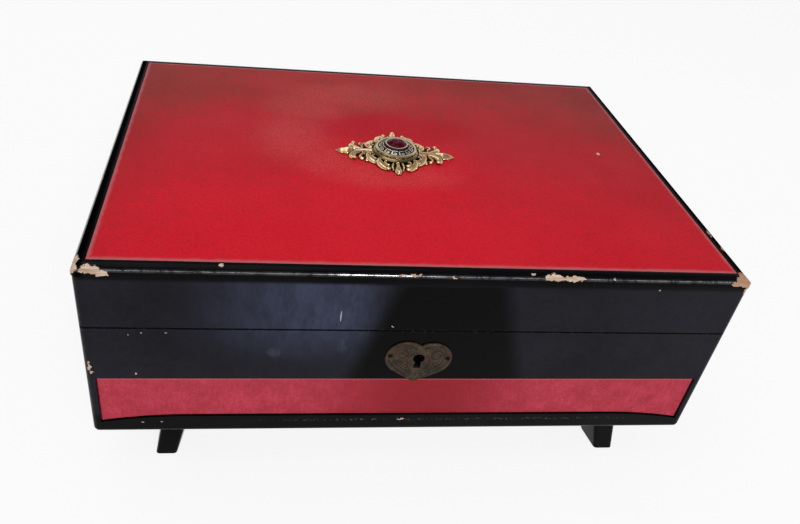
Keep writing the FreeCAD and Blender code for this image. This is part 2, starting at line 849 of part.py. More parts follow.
def leaf(path):
    """A leaf along a path of the plan: upright edges, a sharp crest and a flat back."""
    spots = [V(x, y, z_top) for x, y, half, rise in path]
    lifts = [V(0, 0, leaf_skirt + rise) for x, y, half, rise in path]
    skirt = V(0, 0, leaf_skirt)
    last = len(path) - 1
    left, right, crest = [], [], []
    for i, spot in enumerate(spots):
        run = spots[min(i + 1, last)] - spots[max(i - 1, 0)]
        across = V(-run.y, run.x, 0).normalize() * path[i][2]
        left.append(spot + across)
        right.append(spot - across)
        crest.append(spot + lifts[i])
    faces = [left + right[::-1]]
    faces.append([left[0], right[0], right[0] + skirt, crest[0], left[0] + skirt])
    faces.append([left[-1], left[-1] + skirt, crest[-1], right[-1] + skirt, right[-1]])
    for i in range(last):
        j = i + 1
        faces.append([left[i], left[i] + skirt, left[j] + skirt, left[j]])
        faces.append([right[i], right[j], right[j] + skirt, right[i] + skirt])
        faces.append([left[i] + skirt, crest[i], crest[j]])
        faces.append([left[i] + skirt, crest[j], left[j] + skirt])
        faces.append([right[i] + skirt, right[j] + skirt, crest[j]])
        faces.append([right[i] + skirt, crest[j], crest[i]])
    return flat_sided(faces)


def piercing(x, y, long, wide, turn):
    """A kite shaped hole through the ground."""
    kite = [V(long, 0, 0), V(0, wide, 0), V(-long, 0, 0), V(0, -wide, 0)]
    tool = solid_of(closed_wire(kite), V(0, 0, ground_thick))
    tool.rotate(V(0, 0, 0), V(0, 0, 1), turn)
    tool.translate(V(x, y, z_top))
    return tool


def ornament_quarter():
    """Ground, leaves and buds of the quarter with positive x and y, with its piercings cut."""
    ground = [rod(r, V(x, y, z_top), V(0, 0, 1), ground_thick) for x, y, r in ground_discs]
    ground = ground[0].multiFuse(ground[1:]).cut([piercing(*p) for p in piercings])
    solids = [leaf(path) for path in (spear_leaf, stem_leaf, fleur_leaf, scroll_leaf, palm_leaf, drop_leaf)]
    solids += [Part.makeCone(bud_r, bud_tip, bud_rise, V(x, y, z_top)) for x, y in bud_places]
    whole = ground.multiFuse(solids)
    return whole.common(box(0, side, 0, back, z_top, z_top + collar_top))


def ornament_mount():
    """Open gilt casting made of four mirrored quarters, with room left for the ring."""
    quarter = ornament_quarter()
    half = quarter.fuse(mirrored_x(quarter))
    whole = half.fuse(half.mirror(V(0, 0, 0), V(0, 1, 0)))
    room = rod(ring_foot_r + ring_clear, V(0, 0, z_top + ground_thick), V(0, 0, 1), collar_top)
    return on_lid(whole.cut(room).removeSplitter())


def ornament_ring():
    """Ring on a sloped foot, with a raised rim, a cone inside it and a collar that holds the stone."""
    base = z_top + ground_thick
    rim = z_top + ring_rim
    high = z_top + collar_top
    seat = high - stone_girdle - stone_clear
    ledge = collar_r - stone_r
    hole = stone_r - ledge
    slope = stone_pavilion / stone_r
    dish = ring_r - ring_lip
    points = [
        V(hole, 0, base),
        V(ring_foot_r, 0, base),
        V(ring_foot_r, 0, z_top + ring_foot),
        V(ring_r, 0, z_top + ring_foot + ring_foot_slope),
        V(ring_r, 0, rim - ring_ease),
        V(ring_r - ring_ease, 0, rim),
        V(dish, 0, rim),
        V(dish - ring_ease, 0, rim - ring_sink),
        V(collar_r + collar_lip, 0, high - collar_step),
        V(collar_r, 0, high),
        V(stone_r + stone_clear, 0, high),
        V(stone_r + stone_clear, 0, seat),
        V(hole, 0, seat - (ledge + stone_clear) * slope),
    ]
    ring = Part.Face(closed_wire(points)).revolve(V(0, 0, 0), V(0, 0, 1), 360)
    return on_lid(ring)


def ornament_stone():
    """Round faceted stone: an eight-sided table, a sixteen-sided girdle and a pointed back."""
    count = stone_sides
    low = z_top + collar_top - stone_girdle
    high = z_top + collar_top
    table_z = high + stone_crown

    def at(r, step, z):
        a = 2 * math.pi * step / count
        return V(r * math.cos(a), r * math.sin(a), z)

    girdle = [at(stone_r, i, high) for i in range(count)]
    belt = [at(stone_r, i, low) for i in range(count)]
    table = [at(stone_table, i, table_z) for i in range(0, count, 2)]
    faces = [table]
    for i in range(count):
        j = (i + 1) % count
        faces.append([belt[i], belt[j], girdle[j], girdle[i]])
        faces.append([belt[j], belt[i], V(0, 0, low - stone_pavilion)])
        faces.append([girdle[i], girdle[j], table[((i + 1) // 2) % len(table)]])
    for k in range(len(table)):
        faces.append([table[k], girdle[2 * k + 1], table[(k + 1) % len(table)]])
    return on_lid(flat_sided(faces))


# All pieces, by name
def pieces():
    case = case_blank()
    lid = lid_blank()
    side_board = right_board(case)
    side_rail = lid_right_rail(lid)
    in_x = side_in - lining
    made = {
        "front_board": front_board(case),
        "back_board": back_board(case),
        "right_board": side_board,
        "left_board": mirrored_x(side_board),
        "bottom_panel": bottom_panel(),
        "front_band": front_band(),
        "foot_front_left": foot(-1, -1),
        "foot_front_right": foot(1, -1),
        "foot_rear_left": foot(-1, 1),
        "foot_rear_right": foot(1, 1),
        "foot_screws": group([screw(p, V(0, 0, -1), foot_screw) for p in foot_screw_places()]),
        "heart_plate": heart_plate(),
        "heart_pins": group([heart_pin(p) for p in heart_pin_places()]),
        "lock_plate": lock_plate(),
        "lock_cap": lock_cap(),
        "lock_post": lock_post(),
        "lock_bolt": lock_bolt(),
        "lock_spring": lock_spring(),
        "lock_screws": group([screw(p, V(0, -1, 0), small_screw) for p in lock_screw_places()]),
        "strike_plate": strike_plate(),
        "strike_screws": group([screw(p, V(0, 0, 1), small_screw) for p in strike_screw_places()]),
        "hinge_case_screws": group([screw(p, V(0, 0, -1), small_screw) for p in leaf_screw_places()]),
        "hinge_lid_screws": group([screw(p, V(0, 0, 1), small_screw) for p in leaf_screw_places()]),
        "lid_top_board": lid_top_board(),
        "lid_front_rail": lid_front_rail(lid),
        "lid_back_rail": lid_back_rail(lid),
        "lid_right_rail": side_rail,
        "lid_left_rail": mirrored_x(side_rail),
        "lid_panel": lid_panel(),
        "lid_lining": lid_lining(),
        "mirror": mirror(),
        "floor_lining": floor_lining(),
        "left_lining": wall_lining(-side_in, -in_x, front_in, back_in),
        "right_lining": wall_lining(in_x, side_in, front_in, back_in),
        "front_lining": wall_lining(-in_x, in_x, front_in, front_in + lining),
        "back_lining": wall_lining(-in_x, in_x, back_in - lining, back_in),
        "cross_divider": cross_divider(),
        "long_divider": long_divider(),
        "ring_rolls": group([ring_roll(i) for i in range(roll_count)]),
        "ornament_mount": ornament_mount(),
        "ornament_ring": ornament_ring(),
        "ornament_stone": ornament_stone(),
        "ornament_pins": group(ornament_pins()),
    }
    for name, x in (("left", -hinge_x), ("right", hinge_x)):
        made[f"hinge_{name}_case_leaf"] = hinge_leaf(x, -1)
        made[f"hinge_{name}_lid_leaf"] = hinge_leaf(x, 1)
        made[f"hinge_{name}_pin"] = hinge_pin(x)
    return made


os.makedirs("parts", exist_ok=True)
for node, shape in pieces().items():
    shape.exportStep(os.path.join("parts", node + ".step"))
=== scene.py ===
import math

import bmesh
import bpy
from mathutils import Matrix, Vector, noise


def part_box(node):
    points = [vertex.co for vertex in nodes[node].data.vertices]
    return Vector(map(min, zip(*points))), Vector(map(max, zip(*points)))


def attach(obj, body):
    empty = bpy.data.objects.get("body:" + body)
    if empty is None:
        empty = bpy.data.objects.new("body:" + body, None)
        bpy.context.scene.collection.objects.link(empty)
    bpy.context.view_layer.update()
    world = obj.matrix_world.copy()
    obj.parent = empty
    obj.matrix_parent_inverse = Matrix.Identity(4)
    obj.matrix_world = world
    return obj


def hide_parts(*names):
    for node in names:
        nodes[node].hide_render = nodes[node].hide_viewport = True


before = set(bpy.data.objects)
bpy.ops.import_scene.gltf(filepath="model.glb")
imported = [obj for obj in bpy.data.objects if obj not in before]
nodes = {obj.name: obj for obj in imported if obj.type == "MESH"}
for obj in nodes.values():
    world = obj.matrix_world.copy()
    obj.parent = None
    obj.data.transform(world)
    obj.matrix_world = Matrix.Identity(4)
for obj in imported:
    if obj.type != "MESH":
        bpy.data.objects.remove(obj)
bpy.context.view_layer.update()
MM = 0.001

# Places on the box, in mm
FRONT = -92.0
LID_JOINT = 80.6
LEDGE = 28.9
PANEL_TOP = 109.2
ORNAMENT_X, ORNAMENT_Y = -2.2, -2.8
ORNAMENT_TURN = -2.5
HEART_X, HEART_Z = 0.8, 66.2
HEART_TURN = 3.0


# Camera, floor and light
PICTURE = (800, 524)
FOCAL = 745.9
CENTRE = (358.5, 233.4)
SENSOR = 36


def make_camera():
    """The camera fitted to the straight edges of the box. Its picture and focal length are in pixels."""
    wide, tall = PICTURE
    data = bpy.data.cameras.new("camera")
    data.sensor_fit = "HORIZONTAL"
    data.sensor_width = SENSOR
    data.lens = SENSOR * FOCAL / wide
    data.shift_x = (wide / 2 - CENTRE[0]) / wide
    data.shift_y = (CENTRE[1] - tall / 2) / wide
    data.clip_start = 0.01
    right = Vector((0.98985, -0.09730, 0.10356))
    up = Vector((-0.02773, 0.58254, 0.81233))
    back = Vector((-0.13937, -0.80696, 0.57393))
    place = Matrix((right, up, back)).transposed().to_4x4()
    place.translation = Vector((-66.68, -303.97, 277.63)) * MM
    made = bpy.data.objects.new("camera", data)
    made.matrix_world = place
    bpy.context.scene.collection.objects.link(made)
    bpy.context.scene.camera = made


def make_light(name, place, target, size, power):
    """A rectangular lamp that faces its target."""
    data = bpy.data.lights.new(name, "AREA")
    data.shape = "RECTANGLE"
    data.size, data.size_y = size
    data.energy = power
    made = bpy.data.objects.new(name, data)
    made.location = place
    made.rotation_euler = (Vector(target) - Vector(place)).to_track_quat("-Z", "Y").to_euler()
    bpy.context.scene.collection.objects.link(made)


def make_world():
    """White near the horizon and greyer overhead, like a pale studio."""
    world = bpy.data.worlds.new("studio")
    bpy.context.scene.world = world
    world.use_nodes = True
    tree = world.node_tree
    where = tree.nodes.new("ShaderNodeTexCoord")
    split = tree.nodes.new("ShaderNodeSeparateXYZ")
    ramp = tree.nodes.new("ShaderNodeValToRGB")
    ramp.color_ramp.elements[0].position = 0.30
    ramp.color_ramp.elements[0].color = (1, 1, 1, 1)
    ramp.color_ramp.elements[1].position = 0.62
    ramp.color_ramp.elements[1].color = (0.30, 0.31, 0.33, 1)
    tree.links.new(where.outputs["Generated"], split.inputs[0])
    tree.links.new(split.outputs["Z"], ramp.inputs[0])
    tree.links.new(ramp.outputs[0], tree.nodes["Background"].inputs["Color"])


def make_floor():
    """A pale floor that the camera and reflections see near white, with the shadow kept."""
    data = bpy.data.meshes.new("floor")
    reach = 6.0
    corners = [(-reach, -reach, 0), (reach, -reach, 0), (reach, reach, 0), (-reach, reach, 0)]
    data.from_pydata(corners, [], [(0, 1, 2, 3)])
    material = bpy.data.materials.new("floor")
    material.use_nodes = True
    tree = material.node_tree
    tree.nodes.remove(tree.nodes["Principled BSDF"])
    paper = tree.nodes.new("ShaderNodeBsdfDiffuse")
    paper.inputs["Color"].default_value = (0.9, 0.9, 0.9, 1)
    white = tree.nodes.new("ShaderNodeEmission")
    ray = tree.nodes.new("ShaderNodeLightPath")
    seen = tree.nodes.new("ShaderNodeMath")
    seen.operation = "MAXIMUM"
    tree.links.new(ray.outputs["Is Camera Ray"], seen.inputs[0])
    tree.links.new(ray.outputs["Is Glossy Ray"], seen.inputs[1])
    most = tree.nodes.new("ShaderNodeMath")
    most.operation = "MAXIMUM"
    tree.links.new(seen.outputs[0], most.inputs[0])
    tree.links.new(ray.outputs["Is Transmission Ray"], most.inputs[1])
    share = tree.nodes.new("ShaderNodeMath")
    share.operation = "MULTIPLY"
    share.inputs[1].default_value = 0.86
    tree.links.new(most.outputs[0], share.inputs[0])
    mix = tree.nodes.new("ShaderNodeMixShader")
    tree.links.new(share.outputs[0], mix.inputs[0])
    tree.links.new(paper.outputs[0], mix.inputs[1])
    tree.links.new(white.outputs[0], mix.inputs[2])
    tree.links.new(mix.outputs[0], tree.nodes["Material Output"].inputs["Surface"])
    data.materials.append(material)
    floor = bpy.data.objects.new("floor", data)
    bpy.context.scene.collection.objects.link(floor)


# Materials
def srgb(r, g, b):
    """A colour from its screen values of 0 to 255."""
    def line(v):
        v /= 255
        return v / 12.92 if v <= 0.04045 else ((v + 0.055) / 1.055) ** 2.4
    return (line(r), line(g), line(b), 1.0)


class Paint:
    """One procedural material: a Principled shader and the nodes that feed it. Sizes are in mm."""

    def __init__(self, name, **fixed):
        self.material = bpy.data.materials.new(name)
        self.material.use_nodes = True
        self.tree = self.material.node_tree
        self.shader = self.tree.nodes["Principled BSDF"]
        self.at = self.node("ShaderNodeTexCoord").outputs["Object"]
        for socket, value in fixed.items():
            self.feed(socket, value)

    def put(self, socket, value):
        """Link a socket, or set a value."""
        if isinstance(value, bpy.types.NodeSocket):
            self.tree.links.new(value, socket)
        else:
            socket.default_value = value

    def feed(self, socket, value):
        """Set an input of the shader; an underscore stands for a space."""
        self.put(self.shader.inputs[socket.replace("_", " ")], value)

    def node(self, kind, inputs=None, **settings):
        made = self.tree.nodes.new(kind)
        for key, value in settings.items():
            setattr(made, key, value)
        for key, value in (inputs or {}).items():
            self.put(made.inputs[key], value)
        return made

    def sum(self, operation, a, b=0.0):
        """Any operation of the Math node."""
        return self.node("ShaderNodeMath", {0: a, 1: b}, operation=operation).outputs[0]

    def times(self, first, *others):
        for other in others:
            first = self.sum("MULTIPLY", first, other)
        return first

    def vector(self, operation, *values):
        made = self.node("ShaderNodeVectorMath", operation=operation)
        for socket, value in zip(made.inputs, values):
            self.put(socket, value)
        return made.outputs["Value" if operation == "LENGTH" else "Vector"]

    def axis(self, name):
        """One coordinate, in mm."""
        part = self.node("ShaderNodeSeparateXYZ", {0: self.at}).outputs[name]
        return self.sum("MULTIPLY", part, 1 / MM)

    def cloud(self, size, detail=3.0, rough=0.5, stretch=None):
        """Noise with blotches of that size, about 0.5 in the mean."""
        where = self.vector("MULTIPLY", self.at, stretch) if stretch else self.at
        inputs = {"Vector": where, "Scale": 1 / (size * MM), "Detail": detail, "Roughness": rough}
        return self.node("ShaderNodeTexNoise", inputs).outputs["Fac"]

    def cells(self, size, feature):
        """Distance within cells of that size."""
        inputs = {"Vector": self.at, "Scale": 1 / (size * MM)}
        return self.node("ShaderNodeTexVoronoi", inputs, feature=feature).outputs["Distance"]

    def span(self, value, low, high, to_low=0.0, to_high=1.0):
        """A smooth step between two values."""
        inputs = {"Value": value, "From Min": low, "From Max": high, "To Min": to_low, "To Max": to_high}
        made = self.node("ShaderNodeMapRange", inputs, interpolation_type="SMOOTHSTEP")
        return made.outputs["Result"]

    def mix(self, share, a, b):
        return self.node("ShaderNodeMix", {0: share, 6: a, 7: b}, data_type="RGBA").outputs[2]

    def near(self, spots, wobble=0.0, size=4.0):
        """Distance to the nearest spot. A spot is its centre and half sizes; 1 is at its edge."""
        where = self.at
        if wobble:
            inputs = {"Vector": self.at, "Scale": 1 / (size * MM), "Detail": 3.0}
            loose = self.node("ShaderNodeTexNoise", inputs).outputs["Color"]
            spread = (2 * wobble * MM,) * 3
            shift = self.vector("MULTIPLY_ADD", loose, spread, (-wobble * MM,) * 3)
            where = self.vector("ADD", self.at, shift)
        best = None
        for x, y, z, a, b, c in spots:
            scale = (1 / (a * MM), 1 / (b * MM), 1 / (c * MM))
            local = self.vector("MULTIPLY_ADD", where, scale, (-x / a, -y / b, -z / c))
            far = self.vector("LENGTH", local)
            best = far if best is None else self.sum("MINIMUM", best, far)
        return best

    def bump(self, height, depth, strength=1.0, under=None):
        """Relief of that depth in mm, on top of another relief."""
        inputs = {"Height": height, "Distance": depth * MM, "Strength": strength}
        if under is not None:
            inputs["Normal"] = under
        return self.node("ShaderNodeBump", inputs).outputs["Normal"]

    def ridges(self):
        """1 on a ridge, 0.5 on a flat and 0 in a groove."""
        return self.node("ShaderNodeNewGeometry").outputs["Pointiness"]

    def crevices(self, reach):
        """1 in the open and 0 deep in a hollow."""
        return self.node("ShaderNodeAmbientOcclusion", {"Distance": reach * MM}, samples=8).outputs["AO"]


# Chips and scratches in the lacquer: centre x, y, z and half sizes, in mm
CHIPS = [
    (-123.4, -91.5, 107.7, 3.5, 2.2, 1.4), (-119.4, -92.0, 106.5, 2.5, 1.6, 1.1),
    (-129.3, -90.4, 107.4, 1.6, 2.3, 2.2), (-129.0, -86.8, 108.2, 1.6, 2.8, 1.3),
    (47.6, -91.2, 108.1, 4.2, 1.4, 1.1), (55.6, -91.4, 107.7, 4.8, 1.3, 1.0),
    (127.6, -90.2, 108.0, 4.0, 3.6, 2.6), (129.2, -91.6, 104.6, 1.6, 1.6, 3.0),
    (123.4, -91.8, 107.0, 2.4, 1.6, 0.7), (129.4, -86.4, 107.6, 1.4, 2.6, 1.9),
    (127.8, -70.8, 108.9, 1.2, 1.7, 0.8), (127.2, -60.0, 109.0, 0.8, 2.6, 0.7),
    (-77.8, -89.3, 109.0, 1.1, 0.8, 0.6), (39.2, -90.1, 108.8, 0.8, 0.7, 0.5),
    (-11.6, -91.5, 107.7, 1.5, 0.9, 0.45), (-6.2, -91.4, 107.8, 2.2, 0.9, 0.5),
    (8.5, -91.6, 107.6, 1.4, 0.8, 0.35), (-128.0, -92.0, 60.8, 0.6, 1.0, 2.6),
    (-127.3, -92.0, 57.4, 0.8, 1.0, 0.8), (-110.7, -92.0, 56.4, 0.6, 1.0, 0.55),
    (-12.3, -92.0, 82.6, 0.5, 1.0, 0.45), (-1.7, -92.0, 29.0, 1.6, 1.0, 0.45),
    (129.6, 20.0, 107.6, 1.4, 5.0, 0.7), (-129.8, -30.0, 107.8, 1.2, 4.0, 0.7),
    (30.0, 91.8, 107.8, 5.0, 1.0, 0.6), (-129.6, 91.4, 104.0, 0.8, 0.8, 3.4),
]
SCRATCHES = [
    (-32.7, -92.0, 87.8, 0.28, 1.0, 2.8), (-107.4, -92.0, 78.2, 0.34, 1.0, 0.34),
    (-98.3, -92.0, 78.4, 0.55, 1.0, 0.22), (-112.2, -92.0, 77.3, 0.28, 1.0, 0.28),
    (92.1, -92.0, 103.4, 0.5, 1.0, 0.4), (72.1, -91.3, 107.9, 0.5, 1.0, 0.4),
    (-109.7, -92.0, 28.2, 0.7, 1.0, 0.3), (-102.1, -92.0, 28.3, 0.6, 1.0, 0.3),
]
SMEARS = [(-31, -92, 72, 2.6, 2, 5), (-57, -92, 68, 4, 2, 3)]


def black_lacquer():
    """Old black lacquer: greyer faces, rubbed edges, scratches, chips down to the bare wood, a bluish
    haze on the front that is partly a painted reflection, and a painted dark reflection in the middle of
    the front.
    """
    p = Paint("black_lacquer", IOR=1.45)
    x, y, z = p.axis("X"), p.axis("Y"), p.axis("Z")
    wide, deep = p.sum("ABSOLUTE", x), p.sum("ABSOLUTE", y)
    cloud = p.cloud(38, 4, 0.55)
    fine = p.cloud(1.3, 4, 0.7)
    colour = p.mix(p.span(cloud, 0.3, 0.7), srgb(3, 3, 4), srgb(8, 8, 10))
    # Greyer black on the faces between the bottom strip and the rounded top edge, with darker flecks;
    # the top rim and the bottom strip stay blacker.
    faces = p.times(p.span(z, 31.0, 34.5), p.span(z, 102.5, 104.6, 1.0, 0.0))
    dust = p.mix(p.span(cloud, 0.3, 0.7), srgb(22, 22, 27), srgb(31, 30, 37))
    dust = p.mix(p.span(p.cloud(2.4, 5, 0.7), 0.4, 0.7, 0.0, 0.35), dust, srgb(14, 14, 17))
    colour = p.mix(faces, colour, dust)
    outside = p.span(y, FRONT + 0.2, FRONT + 0.8, 1.0, 0.0)
    front = p.times(outside, faces)
    # A bluish haze on the left of the front, strongest high up: partly polish haze, partly a painted
    # reflection.
    rise = p.times(front, p.span(x, -100, -42), p.span(x, -31, -11, 1.0, 0.0))
    uneven = p.span(p.cloud(4.5, 5, 0.7, (1.0, 1.0, 0.45)), 0.3, 0.7, 0.52, 1.0)
    haze_and_reflection = p.times(rise, p.span(z, 58, 86, 0.06, 1.0), uneven)
    colour = p.mix(haze_and_reflection, colour, srgb(56, 60, 79))
    smear = p.span(p.near(SMEARS, 2.6, 3.5), 0.4, 1.1, 0.3, 0.0)
    colour = p.mix(p.times(smear, front, uneven), colour, srgb(76, 84, 92))
    # Painted reflection: a near-black patch in the middle of the front, widening downwards.
    spread = p.sum("ADD", p.sum("ABSOLUTE", p.sum("SUBTRACT", x, 9.5)), p.times(z, 0.3))
    shade = p.span(spread, 47.5, 57.5, 0.96, 0.0)
    colour = p.mix(p.times(front, shade), colour, srgb(2, 2, 2))
    split = p.sum("ABSOLUTE", p.sum("SUBTRACT", z, LID_JOINT))
    groove = p.span(split, 0.3, 0.55, 1.0, 0.0)
    colour = p.mix(groove, colour, srgb(3, 3, 4))
    corner = p.times(p.span(wide, 128.0, 129.5), p.span(deep, 90.0, 91.5), p.span(cloud, 0.25, 0.6))
    rub = p.sum("MAXIMUM", corner, p.span(split, 0.6, 1.3, 0.16, 0.0))
    rub = p.sum("MAXIMUM", rub, p.span(z, 22.4, 24.6, 0.8, 0.0))
    ledge = p.span(p.sum("ABSOLUTE", p.sum("SUBTRACT", z, LEDGE)), 0.2, 0.9, 1.0, 0.0)
    ledge = p.times(ledge, p.span(p.sum("ABSOLUTE", p.sum("SUBTRACT", x, 20)), 55, 95, 1.0, 0.0))
    rub = p.sum("MAXIMUM", rub, p.times(ledge, outside))
    rub = p.times(rub, p.span(fine, 0.52, 0.66), p.span(z, 22.0, 22.1))
    colour = p.mix(p.times(rub, 0.6), colour, srgb(104, 90, 82))
    far = p.near(CHIPS, 1.4, 1.7)
    chip = p.span(far, 0.95, 1.03, 1.0, 0.0)
    mark = p.span(p.near(SCRATCHES, 0.25, 0.8), 0.8, 1.1, 1.0, 0.0)
    grain = p.cloud(0.9, 4, 0.65, (0.12, 1.0, 1.0))
    wood = p.mix(p.span(grain, 0.3, 0.7), srgb(164, 132, 110), srgb(212, 192, 174))
    wood = p.mix(p.span(x, 60, 120, 0.0, 0.75), wood, srgb(156, 114, 84))
    colour = p.mix(p.times(mark, 0.6), colour, srgb(186, 184, 190))
    colour = p.mix(p.span(far, 1.0, 1.22, 0.8, 0.0), colour, srgb(30, 22, 20))
    p.feed("Base Color", p.mix(chip, colour, wood))
    whole = p.span(chip, 0.0, 1.0, 1.0, 0.0)
    edge = p.times(p.span(z, 106.9, 107.3), p.span(z, 108.0, 108.4, 1.0, 0.0), whole)
    worn = p.times(edge, p.span(p.cloud(3.0, 3, 0.7), 0.36, 0.5, 0.25, 1.0))
    outer = p.sum("MAXIMUM", p.span(wide, 125.0, 127.0), p.span(y, 88.0, 90.0))
    matt = p.times(outer, p.span(z, 104.0, 105.5))
    shine = p.span(matt, 0.0, 1.0, 0.06, 0.0)
    p.feed("Specular IOR Level", p.sum("ADD", p.times(worn, 0.8), shine))
    gloss = p.span(p.cloud(9, 4, 0.6), 0.25, 0.75, 0.14, 0.26)
    gloss = p.sum("SUBTRACT", gloss, p.times(edge, 0.08))
    dull = p.sum("MAXIMUM", p.times(chip, 0.6), p.times(groove, 0.6))
    p.feed("Roughness", p.sum("ADD", gloss, dull))
    skin = p.bump(p.cloud(1.1, 3, 0.6, (0.06, 1.0, 1.0)), 0.02, 0.4)
    skin = p.bump(p.cloud(3.2, 3, 0.6), 0.03, 0.4, skin)
    skin = p.bump(p.sum("SUBTRACT", 1.0, chip), 0.25, 0.9, skin)
    p.feed("Normal", skin)
    return p.material


def leather_relief(p, size):
    """Fine pebbled grain with a slight cross weave."""
    pebble = p.cells(size, "SMOOTH_F1")
    weave = p.cloud(size * 0.6, 3, 0.6)
    creases = p.cells(size * 2.6, "DISTANCE_TO_EDGE")
    relief = p.bump(p.span(creases, 0.0, 0.12), 0.05, 0.35)
    relief = p.bump(pebble, 0.06, 0.5, relief)
    return p.bump(weave, 0.04, 0.5, relief), pebble


def red_top():
    """Red leatherette on the lid: clear red at the front, duller to the back and the sides, partly from
    fading and partly from painted sheen, with painted shade and sheen where the panel dips round the
    ornament.
    """
    p = Paint("red_leatherette_top", IOR=1.45, Specular_IOR_Level=0.1)
    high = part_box("lid_panel")[1] / MM
    x, y = p.axis("X"), p.axis("Y")
    relief, pebble = leather_relief(p, 0.9)
    patch = p.cloud(34, 4, 0.6)
    # Duller and browner to the back and the sides: partly fading, partly painted sheen.
    age_and_sheen = p.span(y, -95, 95)
    age_and_sheen = p.sum("ADD", age_and_sheen, p.span(patch, 0.3, 0.7, -0.1, 0.1))
    age_and_sheen = p.sum("ADD", age_and_sheen, p.span(p.cloud(5, 5, 0.7), 0.3, 0.7, -0.1, 0.1))
    # Clearer red round the ornament, with less of the fading and painted sheen there.
    worn = p.span(p.near([(-8, -10, 109, 58, 52, 60)]), 0.3, 1.0, 0.3, 0.0)
    age_and_sheen = p.sum("SUBTRACT", age_and_sheen, worn)
    side = p.span(p.sum("ABSOLUTE", x), 70, 130, 0.0, 0.14)
    age_and_sheen = p.sum("ADD", age_and_sheen, side)
    colour = p.mix(p.span(age_and_sheen, 0.0, 0.6), srgb(212, 18, 38), srgb(188, 30, 42))
    colour = p.mix(p.span(age_and_sheen, 0.55, 1.2), colour, srgb(146, 54, 50))
    speck = p.span(p.cloud(1.8, 5, 0.7), 0.5, 0.75)
    colour = p.mix(p.times(speck, 0.28), colour, srgb(128, 18, 30))
    # Painted shade and sheen where the panel dips at the ornament: a clearer red behind it, and pale
    # pinkish painted sheen in front of it, to its left and to the back.
    clear = p.span(p.near([(4, 23, 109, 46, 21, 60)], 4, 16), 0.4, 1.0, 0.75, 0.0)
    colour = p.mix(clear, colour, srgb(182, 14, 30))
    sheen_spots = [(-7, -21, 109, 44, 18, 60), (-34, -11, 109, 24, 18, 60), (-49, 10, 109, 24, 34, 60),
            (-42, 42, 109, 28, 22, 60), (-20, 58, 109, 46, 22, 60)]
    pale = p.span(p.near(sheen_spots, 5, 14), 0.3, 1.0, 0.42, 0.0)
    pale = p.times(pale, p.span(pebble, 0.1, 0.5, 1.0, 0.6))
    colour = p.mix(pale, colour, srgb(198, 86, 82))
    # Darker towards the right; painted shade darkens the left edge.
    colour = p.mix(p.span(x, 0, 80, 0.0, 0.12), colour, srgb(60, 20, 20))
    colour = p.mix(p.span(x, -128, -98, 0.14, 0.0), colour, srgb(60, 20, 20))
    colour = p.mix(p.span(pebble, 0.2, 0.7, 0.0, 0.2), colour, srgb(112, 12, 22))
    # A pale pink line round the panel's edge: partly rubbed wear, partly a painted highlight where the
    # edge catches the light.
    edge_x = p.sum("SUBTRACT", high.x, p.sum("ABSOLUTE", x))
    edge_y = p.sum("SUBTRACT", high.y, p.sum("ABSOLUTE", y))
    edge = p.sum("MINIMUM", edge_x, edge_y)
    edge = p.sum("ADD", edge, p.span(p.cloud(5, 4), 0.3, 0.7, -0.25, 0.25))
    rubbed = p.span(edge, 0.4, 2.2, 0.85, 0.0)
    colour = p.mix(rubbed, colour, srgb(176, 96, 100))
    dust = p.span(p.near([(101.8, 6.7, 109.2, 0.9, 1.3, 1.0)], 0.5, 1.0), 0.7, 1.1, 1.0, 0.0)
    p.feed("Base Color", p.mix(dust, colour, srgb(196, 178, 160)))
    p.feed("Roughness", p.span(patch, 0.25, 0.75, 0.5, 0.68))
    p.feed("Normal", relief)
    return p.material


def red_band():
    """Pinker, chalkier red cloth on the front band, with painted shade under the keyhole plate and a
    painted highlight along its top edge.
    """
    p = Paint("red_leatherette_band", IOR=1.45, Specular_IOR_Level=0.12)
    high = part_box("front_band")[1] / MM
    x, z = p.axis("X"), p.axis("Z")
    relief, pebble = leather_relief(p, 0.8)
    # Painted shade: darker in the middle, under the keyhole plate.
    middle = p.span(p.sum("ABSOLUTE", p.sum("SUBTRACT", x, 6.0)), 5, 60, 1.0, 0.0)
    patch = p.cloud(9, 5, 0.65)
    colour = p.mix(p.span(patch, 0.3, 0.72), srgb(168, 52, 66), srgb(190, 66, 82))
    colour = p.mix(p.times(middle, 0.9), colour, srgb(134, 31, 37))
    spots = p.span(p.cloud(2.4, 4, 0.7), 0.6, 0.72, 0.0, 0.5)
    colour = p.mix(spots, colour, srgb(128, 26, 40))
    streak = p.span(p.cloud(1.6, 4, 0.6, (1.0, 1.0, 0.25)), 0.35, 0.7, 0.0, 0.3)
    colour = p.mix(streak, colour, srgb(150, 34, 50))
    colour = p.mix(p.span(pebble, 0.2, 0.7, 0.0, 0.22), colour, srgb(112, 22, 34))
    # Painted highlight: a pale pink line along the top edge.
    top = p.span(p.sum("SUBTRACT", high.z, z), 0.3, 1.6, 0.6, 0.0)
    p.feed("Base Color", p.mix(top, colour, srgb(206, 128, 134)))
    p.feed("Roughness", p.span(patch, 0.25, 0.75, 0.6, 0.78))
    p.feed("Normal", relief)
    return p.material


